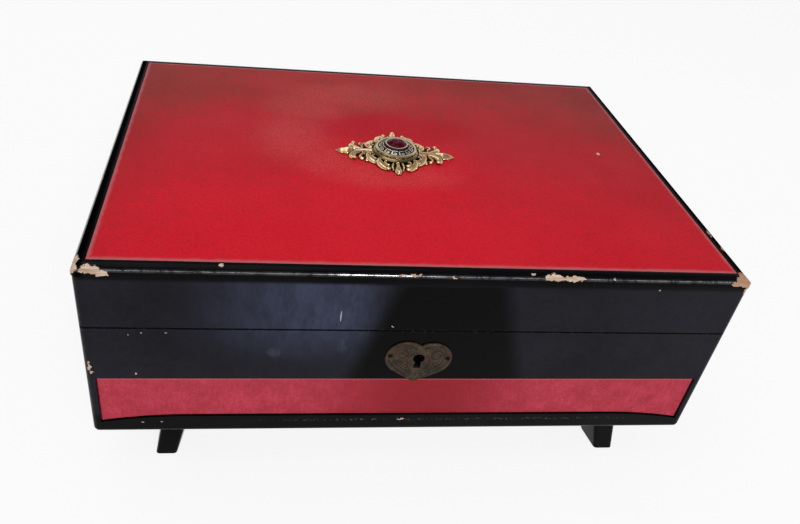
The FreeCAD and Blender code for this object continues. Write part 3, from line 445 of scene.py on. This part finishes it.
def gilt(name, bright, dark, reach, rough):
    """Cast gilt metal with a dark greenish film in its hollows and grooves that is partly tarnish and
    partly painted shade, and lighter ridges that are partly a painted highlight.
    """
    p = Paint(name, Metallic=1.0)
    # Darker in hollows and grooves, lighter on ridges: partly tarnish, partly painted shade and painted
    # highlight.
    open_air = p.sum("ADD", p.crevices(reach), p.span(p.ridges(), 0.45, 0.56, -0.36, 0.14))
    patch = p.cloud(1.7, 4, 0.6)
    film = p.span(p.sum("ADD", open_air, p.span(patch, 0.3, 0.7, -0.14, 0.14)), 0.4, 1.06)
    yellower = tuple(c * k for c, k in zip(bright, (1.0, 0.86, 0.7, 1)))
    warm = p.mix(p.span(p.cloud(4.5, 3), 0.35, 0.65), bright, yellower)
    p.feed("Base Color", p.mix(film, dark, warm))
    p.feed("Roughness", p.span(film, 0.0, 1.0, rough + 0.3, rough))
    relief = p.bump(p.cloud(0.5, 3, 0.6), 0.03, 0.5)
    p.feed("Normal", relief)
    return p.material


def ring_metal():
    """Gilt rim and collar with a dark enamelled ground between them; the skirt is painted darker low
    down and lighter higher up, and thin painted highlights run round the rim and the top of the collar.
    """
    p = Paint("gilt_ring", Metallic=1.0)
    x = p.sum("SUBTRACT", p.axis("X"), ORNAMENT_X)
    y = p.sum("SUBTRACT", p.axis("Y"), ORNAMENT_Y)
    r = p.sum("SQRT", p.sum("ADD", p.times(x, x), p.times(y, y)))
    ground = p.times(p.span(r, 5.25, 5.4), p.span(r, 8.3, 8.55, 1.0, 0.0))
    patch = p.cloud(1.5, 4, 0.6)
    # Darker in the hollows: partly tarnish, partly painted shade.
    film = p.span(p.sum("ADD", p.crevices(1.6), p.span(patch, 0.3, 0.7, -0.14, 0.14)), 0.3, 0.9)
    # Painted shade and highlight on the skirt: darker low down, lighter higher up.
    skirt_shading = p.mix(p.span(p.axis("Z"), 111.2, 112.6), srgb(100, 90, 58), srgb(190, 172, 130))
    rim = p.mix(film, srgb(36, 34, 20), skirt_shading)
    # Painted highlights: a thin bright line round the rim and round the top of the collar.
    line = p.times(p.span(r, 8.45, 8.6), p.span(r, 8.95, 9.2, 1.0, 0.0))
    collar = p.times(p.span(r, 4.95, 5.1, 1.0, 0.0), p.span(p.axis("Z"), 114.9, 115.1))
    rim = p.mix(p.sum("MAXIMUM", line, collar), rim, srgb(232, 218, 186))
    p.feed("Base Color", p.mix(ground, rim, srgb(46, 40, 40)))
    p.feed("Roughness", p.span(film, 0.0, 1.0, 0.5, 0.22))
    p.feed("Normal", p.bump(p.cloud(0.5, 3, 0.6), 0.03, 0.5))
    return p.material


def old_brass():
    """Dark brown tarnish over brass, a little brighter where it is rubbed."""
    p = Paint("old_brass", Metallic=0.6, Specular_IOR_Level=0.3)
    patch = p.cloud(3.4, 5, 0.65)
    fine = p.cloud(0.7, 4, 0.65)
    colour = p.mix(p.span(patch, 0.35, 0.68), srgb(42, 35, 27), srgb(78, 66, 48))
    colour = p.mix(p.span(fine, 0.5, 0.7, 0.0, 0.7), colour, srgb(24, 17, 13))
    reddish = p.span(p.cloud(6.0, 3), 0.5, 0.7, 0.0, 0.5)
    p.feed("Base Color", p.mix(reddish, colour, srgb(72, 44, 34)))
    p.feed("Roughness", p.span(patch, 0.25, 0.75, 0.4, 0.62))
    relief = p.bump(fine, 0.06, 0.7)
    p.feed("Normal", p.bump(p.cells(1.3, "DISTANCE_TO_EDGE"), 0.05, 0.4, relief))
    return p.material


def engraved():
    """The dirt that fills a cut line."""
    p = Paint("engraved_line", Metallic=0.2, Specular_IOR_Level=0.2)
    patch = p.cloud(1.2, 4, 0.6)
    p.feed("Base Color", p.mix(p.span(patch, 0.35, 0.7), srgb(20, 15, 12), srgb(44, 33, 26)))
    p.feed("Roughness", p.span(patch, 0.3, 0.7, 0.6, 0.85))
    p.feed("Normal", p.bump(patch, 0.03, 0.5))
    return p.material


def machined(name, bright, dull, rough):
    """Sheet metal hardware with fine brushing, patchy tarnish, and grime with painted shade deep in its
    hollows.
    """
    p = Paint(name, Metallic=1.0)
    patch = p.cloud(5.0, 5, 0.65)
    colour = p.mix(p.span(patch, 0.38, 0.68), bright, dull)
    # Darker deep in the hollows: partly grime, partly painted shade.
    p.feed("Base Color", p.mix(p.span(p.crevices(10), 0.1, 0.55), srgb(16, 13, 10), colour))
    brushed = p.cloud(0.5, 3, 0.6, (0.07, 1.0, 1.0))
    p.feed("Roughness", p.span(brushed, 0.25, 0.75, rough, rough + 0.22))
    p.feed("Normal", p.bump(brushed, 0.02, 0.5))
    return p.material


def red_glass():
    """Dark red cut glass; its facets are painted darker red and brighter purple, as painted reflections.
    """
    p = Paint("red_glass", Roughness=0.04, IOR=1.55, Specular_IOR_Level=0.05)
    # Painted reflections: each facet cell gets its own tone, from dark red to a bright purple flash.
    facets = p.node("ShaderNodeTexVoronoi", {"Vector": p.at, "Scale": 1 / (1.9 * MM)}).outputs["Color"]
    facet_light = p.node("ShaderNodeSeparateColor", {0: facets}).outputs[0]
    rim = p.span(p.axis("Z"), 115.2, 116.2, 0.0, 1.0)
    colour = p.mix(p.span(facet_light, 0.2, 0.85), srgb(34, 0, 9), srgb(104, 6, 38))
    colour = p.mix(p.span(facet_light, 0.75, 0.95, 0.0, 0.8), colour, srgb(138, 18, 84))
    p.feed("Base Color", p.mix(rim, srgb(64, 2, 16), colour))
    p.feed("Normal", p.bump(p.cloud(0.8, 2), 0.004, 0.4))
    return p.material


def velvet(name, pile, shade):
    """Short pile with nap patches and a soft sheen."""
    p = Paint(name, Roughness=0.9, Specular_IOR_Level=0.1, Sheen_Weight=0.5, Sheen_Roughness=0.4)
    p.feed("Sheen Tint", tuple(min(1.0, c * 3 + 0.08) for c in pile[:3]) + (1.0,))
    nap = p.cloud(16, 4, 0.6)
    tuft = p.cloud(0.45, 3, 0.7)
    colour = p.mix(p.span(nap, 0.3, 0.7), shade, pile)
    p.feed("Base Color", p.mix(p.span(tuft, 0.45, 0.75, 0.0, 0.5), colour, shade))
    p.feed("Normal", p.bump(tuft, 0.12, 0.7, p.bump(nap, 0.3, 0.3)))
    return p.material


def plain_board():
    """Brown hardboard with pressed fibres."""
    p = Paint("plain_board", Specular_IOR_Level=0.25)
    fibre = p.cloud(2.6, 5, 0.7, (0.25, 1.0, 1.0))
    patch = p.cloud(30, 4, 0.55)
    colour = p.mix(p.span(fibre, 0.3, 0.7), srgb(96, 66, 44), srgb(146, 108, 74))
    p.feed("Base Color", p.mix(p.span(patch, 0.4, 0.75, 0.0, 0.5), colour, srgb(84, 58, 42)))
    p.feed("Roughness", p.span(fibre, 0.25, 0.75, 0.62, 0.86))
    p.feed("Normal", p.bump(fibre, 0.08, 0.6))
    return p.material


def mirror_glass():
    """Old silvered glass with a few spots where the silver has gone near its edge."""
    p = Paint("mirror_glass", Metallic=1.0)
    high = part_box("mirror")[1] / MM
    edge_x = p.sum("SUBTRACT", high.x, p.sum("ABSOLUTE", p.axis("X")))
    edge_y = p.sum("SUBTRACT", high.y, p.sum("ABSOLUTE", p.axis("Y")))
    rim = p.span(p.sum("MINIMUM", edge_x, edge_y), 0.0, 16.0, 0.13, 0.0)
    spots = p.span(p.sum("ADD", p.cloud(4.5, 5, 0.7), rim), 0.68, 0.76)
    p.feed("Base Color", p.mix(spots, srgb(226, 230, 230), srgb(92, 82, 70)))
    smear = p.cloud(26, 4, 0.6)
    smear = p.span(smear, 0.4, 0.8, 0.015, 0.06)
    p.feed("Roughness", p.sum("ADD", smear, p.times(spots, 0.4)))
    p.feed("Normal", p.bump(p.cloud(60, 2), 0.01, 0.2))
    return p.material


# Meshes
def smooth_line(points, steps):
    """Points along a smooth curve through the given ones."""
    points = [Vector(p) for p in points]
    ends = [2 * points[0] - points[1]] + points + [2 * points[-1] - points[-2]]
    line = []
    for i in range(1, len(ends) - 2):
        a, b, c, d = ends[i - 1:i + 3]
        for k in range(steps):
            t = k / steps
            line.append(0.5 * (2 * b + (c - a) * t + (2 * a - 5 * b + 4 * c - d) * t * t
                               + (3 * b - a - 3 * c + d) * t ** 3))
    return line + [points[-1]]


def along(values, t):
    """The value at t from 0 to 1 on an evenly spaced list, eased between its entries."""
    f = t * (len(values) - 1)
    i = min(int(f), len(values) - 2)
    s = f - i
    s = s * s * (3 - 2 * s)
    return values[i] * (1 - s) + values[i + 1] * s


class Sculpt:
    """Vertices in mm and faces that become one object."""

    def __init__(self):
        self.points = []
        self.faces = []

    def loft(self, rings):
        """A closed skin over rings of equal length."""
        start, n = len(self.points), len(rings[0])
        for ring in rings:
            self.points.extend(Vector(p) for p in ring)
        for k in range(len(rings) - 1):
            a = start + k * n
            for i in range(n):
                j = (i + 1) % n
                self.faces.append((a + i, a + j, a + n + j, a + n + i))
        self.faces.append(tuple(range(start + n - 1, start - 1, -1)))
        last = start + (len(rings) - 1) * n
        self.faces.append(tuple(range(last, last + n)))

    def petal(self, path, half, rise, base=(0.5, 0.5), round_off=2.0, groove=0.0, steps=5, across=8):
        """A crowned leaf along a path in the plane. half, rise and base are lists along its length."""
        line = smooth_line([(*p, 0) for p in path], steps)
        rings = []
        for k, p in enumerate(line):
            t = k / (len(line) - 1)
            run = (line[min(k + 1, len(line) - 1)] - line[max(k - 1, 0)]).normalized()
            side = Vector((-run.y, run.x, 0))
            w, h, low = along(half, t), along(rise, t), along(base, t)
            ring = []
            for j in range(across + 1):
                q = -1 + 2 * j / across
                crown = (1 - abs(q) ** round_off) - groove * math.exp(-(q / 0.28) ** 2)
                ring.append(p + side * (q * w) + Vector((0, 0, low + h * crown)))
            ring.append(p + side * w)
            ring.append(p - side * w)
            rings.append(ring)
        self.loft(rings)

    def ball(self, centre, r, flat=0.8, count=12, bands=7):
        """A ball pressed flat by that share."""
        c = Vector(centre)
        rings = []
        for k in range(1, bands):
            a = math.pi * k / bands
            z, w = -math.cos(a) * r * flat, math.sin(a) * r
            rings.append([c + Vector((w * math.cos(2 * math.pi * i / count),
                                      w * math.sin(2 * math.pi * i / count), z)) for i in range(count)])
        self.loft(rings)

    def slab(self, outline, z0, z1):
        """A flat plate with that outline."""
        self.loft([[(x, y, z0) for x, y in outline], [(x, y, z1) for x, y in outline]])

    def tube(self, line, r, sides=6):
        """A stroke along a line, thinner at its ends."""
        rings = []
        for k, p in enumerate(line):
            run = (line[min(k + 1, len(line) - 1)] - line[max(k - 1, 0)]).normalized()
            a = run.orthogonal().normalized() if k == 0 else (a - run * a.dot(run)).normalized()
            b = run.cross(a)
            t = k / (len(line) - 1)
            w = r * (0.35 + 0.65 * math.sin(math.pi * min(1.0, 0.12 + 0.8 * t)))
            turn = [2 * math.pi * i / sides for i in range(sides)]
            rings.append([p + (a * math.cos(v) + b * math.sin(v)) * w for v in turn])
        self.loft(rings)

    def make(self, name, material, body, place=None, smooth=True):
        """The object itself, in metres, riding on its body."""
        data = bpy.data.meshes.new(name)
        data.from_pydata([tuple(p) for p in self.points], [], self.faces)
        tidy = bmesh.new()
        tidy.from_mesh(data)
        bmesh.ops.recalc_face_normals(tidy, faces=tidy.faces)
        tidy.to_mesh(data)
        tidy.free()
        data.transform(Matrix.Scale(MM, 4) @ (place or Matrix.Identity(4)))
        for face in data.polygons:
            face.use_smooth = smooth
        data.materials.append(material)
        made = bpy.data.objects.new(name, data)
        bpy.context.scene.collection.objects.link(made)
        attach(made, body)
        return made


# Ornament on the lid
ORNAMENT = (Matrix.Translation((ORNAMENT_X, ORNAMENT_Y, PANEL_TOP))
            @ Matrix.Rotation(math.radians(ORNAMENT_TURN), 4, "Z"))


def filigree(material):
    """The gilt casting: spears, curled leaves, palmettes and buds over a flat, scalloped ground."""
    s = Sculpt()

    def disc(x, y, r, high=0.8, count=36):
        turn = [2 * math.pi * i / count for i in range(count)]
        s.slab([(x + r * math.cos(a), y + r * math.sin(a)) for a in turn], 0.0, high)
    disc(0, 0, 11.4)
    for k in (-1, 1):
        disc(k * 14.6, 0, 2.8)
        disc(0, k * 13.4, 2.8)
        s.petal([(k * 10.9, 0), (k * 13, 0), (k * 17, 0), (k * 20.8, 0)],
                [2.0, 1.5, 1.1, 1.7], [1.2, 1.5, 1.3, 1.1], [1.4, 1.0, 0.8, 0.7], 1.6, 0.25)
        s.petal([(k * 18.8, 0), (k * 21.4, 0), (k * 24.2, 0), (k * 28.0, 0)],
                [1.0, 2.0, 2.7, 2.1, 0.2], [1.1, 1.7, 1.9, 1.4, 0.25], [0.8, 0.4], 1.35, 0.0, 9, 12)
        s.petal([(k * 18.6, 0), (k * 21.0, 0), (k * 24.0, 0)],
                [0.3, 0.6, 0.1], [0.6, 0.75, 0.2], [1.7, 1.6], 1.8)
        s.petal([(0, k * 10.9), (0, k * 13), (0, k * 16), (0, k * 18.8)],
                [1.2, 1.0, 1.6, 1.9, 0.9], [1.2, 1.3, 1.7, 1.6, 0.5], [1.4, 0.7, 0.6], 1.8, 0.3)
        s.ball((0, k * 17.8, 1.3), 1.15, 0.8)
    for sx in (-1, 1):
        for sy in (-1, 1):
            def at(*points):
                return [(sx * x, sy * y) for x, y in points]

            def bud(x, y, r=1.0, z=1.1):
                s.ball((sx * x, sy * y, z), r, 0.8)
            disc(sx * 10.3, sy * 5.0, 3.4)
            disc(sx * 5.8, sy * 10.6, 3.4)
            s.petal(at((15.2, 0.8), (18.6, 2.2), (20.5, 4.4), (19.7, 6.6)),
                    [0.8, 1.4, 1.6, 1.6, 1.2], [1.1, 1.6, 1.6, 1.3, 0.9], [0.8, 0.5], 1.8, 0.28)
            bud(19.5, 6.8)
            s.petal(at((15.6, 1.3), (15.6, 3.5), (16.9, 5.4), (16.0, 6.8), (14.9, 6.0)),
                    [0.6, 0.8, 0.8, 0.7, 0.5], [1.2, 1.4, 1.4, 1.1, 0.7], [0.6, 0.4], 1.8)
            s.petal(at((10.6, 2.7), (11.9, 2.9), (12.9, 4.6), (12.1, 6.8), (10.5, 8.6), (9.3, 9.5)),
                    [0.9, 1.3, 1.7, 1.8, 1.7, 1.2], [1.3, 1.7, 1.8, 1.6, 1.3, 0.9],
                    [1.5, 1.1, 0.8, 0.6], 1.9, 0.3)
            bud(9.2, 9.7)
            s.petal(at((9.9, 4.2), (11.0, 5.0), (10.9, 6.6), (9.6, 7.6), (8.8, 6.8)),
                    [0.5, 0.7, 0.7, 0.6, 0.4], [1.0, 1.1, 1.1, 0.9, 0.6], [1.3, 1.0], 1.8)
            s.petal(at((7.6, 7.7), (8.3, 9.3), (7.8, 11.5), (6.3, 13.4), (4.8, 15.0)),
                    [0.9, 1.4, 1.8, 1.8, 1.2], [1.3, 1.7, 1.8, 1.5, 1.0], [1.5, 1.1, 0.7, 0.6], 1.9, 0.3)
            bud(4.6, 15.2, 1.1)
            s.petal(at((4.8, 9.6), (5.9, 10.6), (5.6, 12.0), (4.3, 12.6), (3.5, 11.7)),
                    [0.5, 0.8, 0.8, 0.6, 0.4], [1.0, 1.2, 1.2, 1.0, 0.6], [1.3, 1.0], 1.8)
            s.petal(at((1.7, 10.8), (2.3, 12.2), (2.6, 14.0), (2.2, 16.0)),
                    [0.4, 0.8, 0.8, 0.5], [0.9, 1.3, 1.2, 0.6], [1.2, 0.5], 1.7)
            s.petal(at((12.6, 6.0), (13.4, 7.0), (14.0, 8.4)),
                    [0.7, 1.2, 0.8], [0.9, 1.2, 0.6], [0.6, 0.4], 1.8)
            s.ball((sx * 8.2, sy * 13.3, 0.8), 0.65, 0.9)
    made = s.make("ornament_filigree", material, "lid", ORNAMENT)
    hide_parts("ornament_mount")


FRETS = 13


def ring_frets(material):
    """Small raised key shapes round the sloping face of the ring."""
    s = Sculpt()

    def slope(r):
        """The height of the ring's face, which falls from its collar to its rim."""
        return 5.1 + (r - 5.7) * (3.8 - 5.1) / (8.2 - 5.7)

    def bar(r0, r1, a0, a1):
        ring = [(r0, a0), (r1, a0), (r1, a1), (r0, a1)]
        low = [(r * math.cos(a), r * math.sin(a), slope(r) - 0.1) for r, a in ring]
        high = [((r + 0.1) * math.cos(a), (r + 0.1) * math.sin(a), slope(r) + 0.2) for r, a in ring]
        s.loft([low, high])
    step = 2 * math.pi / FRETS
    for i in range(FRETS):
        a = i * step
        bar(6.3, 7.9, a - 0.035, a + 0.035)
        bar(7.6, 7.9, a + 0.035, a + 0.3)
        bar(6.95, 7.6, a + 0.23, a + 0.3)
        bar(6.85, 7.15, a + 0.13, a + 0.23)
        bar(6.0, 6.25, a - 0.035, a + 0.37)
    s.make("ornament_ring_frets", material, "lid", ORNAMENT, smooth=False)


# Engraving on the keyhole plate
def heart_engraving(material):
    """Scrolls, leaf strokes and a border line cut in the keyhole plate, turned as the plate is."""
    s = Sculpt()
    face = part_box("heart_plate")[0].y / MM
    turn = math.radians(HEART_TURN)

    def stroke(points, r=0.19, steps=5):
        """A cut line, given as x and z on an upright plate whose middle is at 65.5."""
        line = []
        for x, z in points:
            up = z - 65.5
            line.append((HEART_X + x * math.cos(turn) + up * math.sin(turn), face + 0.05,
                         HEART_Z + up * math.cos(turn) - x * math.sin(turn)))
        s.tube(smooth_line(line, steps), r)
    eye_x, eye_z = 7.2, 67.4
    for k in (-1, 1):
        curl = []
        for i in range(13):
            a = math.radians(200 - i * 42)
            r = 3.3 - i * 0.21
            curl.append((k * (eye_x - r * math.cos(a)), eye_z + r * math.sin(a)))
        stroke(curl)
        stroke([(k * 10.6, 66.4), (k * 9.4, 62.8), (k * 6.6, 60.2), (k * 4.2, 58.4), (k * 1.6, 54.8)])
        stroke([(k * 6.4, 60.1), (k * 5.6, 61.6), (k * 4.2, 61.8), (k * 3.9, 60.4), (k * 5.0, 60.2)])
        stroke([(k * 4.4, 58.5), (k * 3.0, 59.0), (k * 1.9, 58.0), (k * 2.4, 56.8), (k * 3.3, 57.2)])
        stroke([(k * 9.2, 62.6), (k * 7.6, 63.6), (k * 6.4, 62.9), (k * 7.0, 61.7), (k * 8.0, 62.0)])
        stroke([(k * 3.9, 70.6), (k * 2.9, 71.6), (k * 1.9, 70.8), (k * 2.5, 69.7)])
        stroke([(k * 10.9, 69.2), (k * 9.6, 71.6), (k * 7.0, 72.7), (k * 4.4, 72.0), (k * 1.2, 70.4)],
               0.16)
        stroke([(k * 12.4, 67.6), (k * 12.2, 64.0), (k * 10.2, 61.2), (k * 6.4, 57.6), (k * 0.9, 53.6)],
               0.16)
        stroke([(k * 3.4, 67.8), (k * 4.3, 65.6), (k * 4.6, 63.6), (k * 3.6, 62.6)], 0.16)
        for a in range(-20, 200, 24):
            c, d = math.cos(math.radians(a)), math.sin(math.radians(a))
            stroke([(k * (eye_x + r * c), eye_z + r * d) for r in (3.7, 4.5)], 0.15, 2)
        for i in range(7):
            x, z = 10.9 - 1.5 * i, 60.6 - 1.08 * i
            stroke([(k * x, z), (k * (x - 0.9), z + 0.9)], 0.13, 2)
    s.make("heart_engraving", material, "case")


# Padded rolls for rings
ROLLS = 7
ROLL_VOXEL = 3.2
ROLL_CAP = 1.5
GROW = 10.0
FRAMES = 20


def roll_skin(low, high, mid, half):
    """The limp skin of one roll, a little smaller than its place, pulled in at its ends."""
    s = Sculpt()
    stations, sides, end_length = 30, 24, 8
    tall = high.z - low.z - 1.0
    rings = []
    for k in range(stations + 1):
        t = k / stations
        x = low.x + 0.9 + (high.x - low.x - 1.8) * t
        end = min(t, 1 - t) * (high.x - low.x)
        pull = math.sqrt(max(0.0, 1 - (1 - min(1.0, end / end_length)) ** 2.4))
        ring = []
        for j in range(sides):
            a = 2 * math.pi * j / sides
            c, d = math.cos(a), math.sin(a)
            y = half * (0.66 + 0.34 * pull) * math.copysign(abs(c) ** 0.62, c)
            z = tall * (0.6 + 0.4 * pull) / 2 * (1 + math.copysign(abs(d) ** 0.7, d))
            slack = 0.5 * noise.noise(Vector((x / 7, (mid + y) / 5, z / 5)))
            ring.append((x, mid + y + slack * c, low.z - 0.3 + z + slack * max(0.0, d)))
        rings.append(ring)
    s.loft(rings)
    return s


def stuffed(skin):
    """The skin after a cloth simulation with inner pressure. It runs at GROW times the real size."""
    scene = bpy.context.scene
    most = ROLL_CAP * GROW * MM
    data = bpy.data.meshes.new("skin")
    data.from_pydata([tuple(p * GROW * MM) for p in skin.points], [], skin.faces)
    trial = bpy.data.objects.new("skin", data)
    scene.collection.objects.link(trial)
    remesh = trial.modifiers.new("remesh", "REMESH")
    remesh.mode = "VOXEL"
    remesh.voxel_size = ROLL_VOXEL * GROW * MM
    graph = bpy.context.evaluated_depsgraph_get()
    trial.data = bpy.data.meshes.new_from_object(trial.evaluated_get(graph))
    trial.modifiers.clear()
    rest = [v.co.copy() for v in trial.data.vertices]
    bottom = min(p.z for p in rest)
    sewn = trial.vertex_groups.new(name="sewn")
    sewn.add([i for i, p in enumerate(rest) if p.z < bottom + 2.0 * GROW * MM], 1.0, "REPLACE")
    cloth = trial.modifiers.new("cloth", "CLOTH")
    cloth.settings.effector_weights.gravity = 0.0
    cloth.settings.use_pressure = True
    cloth.settings.uniform_pressure_force = 4.0
    cloth.settings.vertex_group_mass = "sewn"
    cloth.settings.shrink_min = -0.04
    cloth.collision_settings.use_collision = False
    cloth.point_cache.frame_end = FRAMES
    for frame_number in range(1, FRAMES + 1):
        scene.frame_set(frame_number)
    graph = bpy.context.evaluated_depsgraph_get()
    swollen = trial.evaluated_get(graph).to_mesh()
    points = []
    for p, v in zip(rest, swollen.vertices):
        step = v.co - p
        if step.length > most:
            step *= most / step.length
        points.append((p + step) / (GROW * MM))
    faces = [tuple(f.vertices) for f in swollen.polygons]
    trial.evaluated_get(graph).to_mesh_clear()
    scene.frame_set(1)
    bpy.data.objects.remove(trial)
    return points, faces


def padded_rolls(material):
    """Seven stuffed velvet rolls, sewn down along the bottom and pressed against each other."""
    s = Sculpt()
    low, high = (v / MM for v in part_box("ring_rolls"))
    pitch = (high.y - low.y + 0.4) / ROLLS
    for i in range(ROLLS):
        mid = low.y - 0.2 + (i + 0.5) * pitch
        points, faces = stuffed(roll_skin(low, high, mid, pitch / 2 - 1.2))
        room = pitch / 2 - 0.25
        first = len(s.points)
        for p in points:
            s.points.append(Vector((min(max(p.x, low.x + 0.1), high.x - 0.1),
                                    min(max(p.y, mid - room), mid + room),
                                    min(max(p.z, low.z + 0.1), high.z - 0.05))))
        s.faces.extend(tuple(first + v for v in face) for face in faces)
    made = s.make("ring_cushion_rolls", material, "case")
    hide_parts("ring_rolls")
    soft = made.modifiers.new("soft", "SUBSURF")
    soft.levels = soft.render_levels = 1


def dress(material, *names):
    """Give solids of the frame that material alone."""
    for name in names:
        data = nodes[name].data
        data.materials.clear()
        data.materials.append(material)


make_camera()
make_world()
make_floor()
make_light("front_window", (0.18, -1.06, 0.79), (-0.02, -0.09, 0.1), (0.13, 0.09), 4.0)
make_light("front_strip", (0.1, -1.3, 0.95), (0, -0.09, 0.1), (2.2, 0.05), 4.0)
make_light("overhead", (-0.25, 0.1, 1.3), (0, 0, 0.1), (1.1, 0.9), 4.5)

lacquer = black_lacquer()
bright_gilt = gilt("gilt", srgb(234, 202, 158), srgb(28, 26, 13), 2.6, 0.17)
silvery = gilt("worn_silver", srgb(216, 208, 198), srgb(80, 72, 66), 0.7, 0.42)
ring_gilt = ring_metal()
brass = old_brass()
pile = velvet("velvet", srgb(116, 15, 27), srgb(88, 11, 21))
steel = machined("lock_steel", srgb(150, 148, 142), srgb(104, 92, 78), 0.3)
hinge_brass = machined("hinge_brass", srgb(196, 162, 96), srgb(120, 92, 56), 0.28)

dress(lacquer, "front_board", "back_board", "left_board", "right_board",
      "foot_front_left", "foot_front_right", "foot_rear_left", "foot_rear_right",
      "lid_top_board", "lid_front_rail", "lid_back_rail", "lid_left_rail", "lid_right_rail")
dress(red_top(), "lid_panel")
dress(red_band(), "front_band")
dress(brass, "heart_plate")
dress(machined("pin_iron", srgb(34, 28, 24), srgb(14, 11, 9), 0.4), "heart_pins")
dress(ring_gilt, "ornament_ring")
dress(bright_gilt, "ornament_mount", "ornament_pins")
dress(red_glass(), "ornament_stone")
dress(steel, "lock_plate", "lock_cap", "lock_post", "lock_bolt", "lock_spring", "lock_screws",
      "foot_screws", "strike_plate", "strike_screws")
dress(hinge_brass, *[n for n in nodes if n.startswith("hinge_")])
dress(pile, "floor_lining", "front_lining", "back_lining", "left_lining", "right_lining", "lid_lining",
      "cross_divider", "long_divider", "ring_rolls")
dress(plain_board(), "bottom_panel")
dress(mirror_glass(), "mirror")

filigree(bright_gilt)
ring_frets(silvery)
heart_engraving(engraved())
padded_rolls(pile)

bpy.context.scene.view_settings.view_transform = "Standard"
bpy.context.view_layer.update()
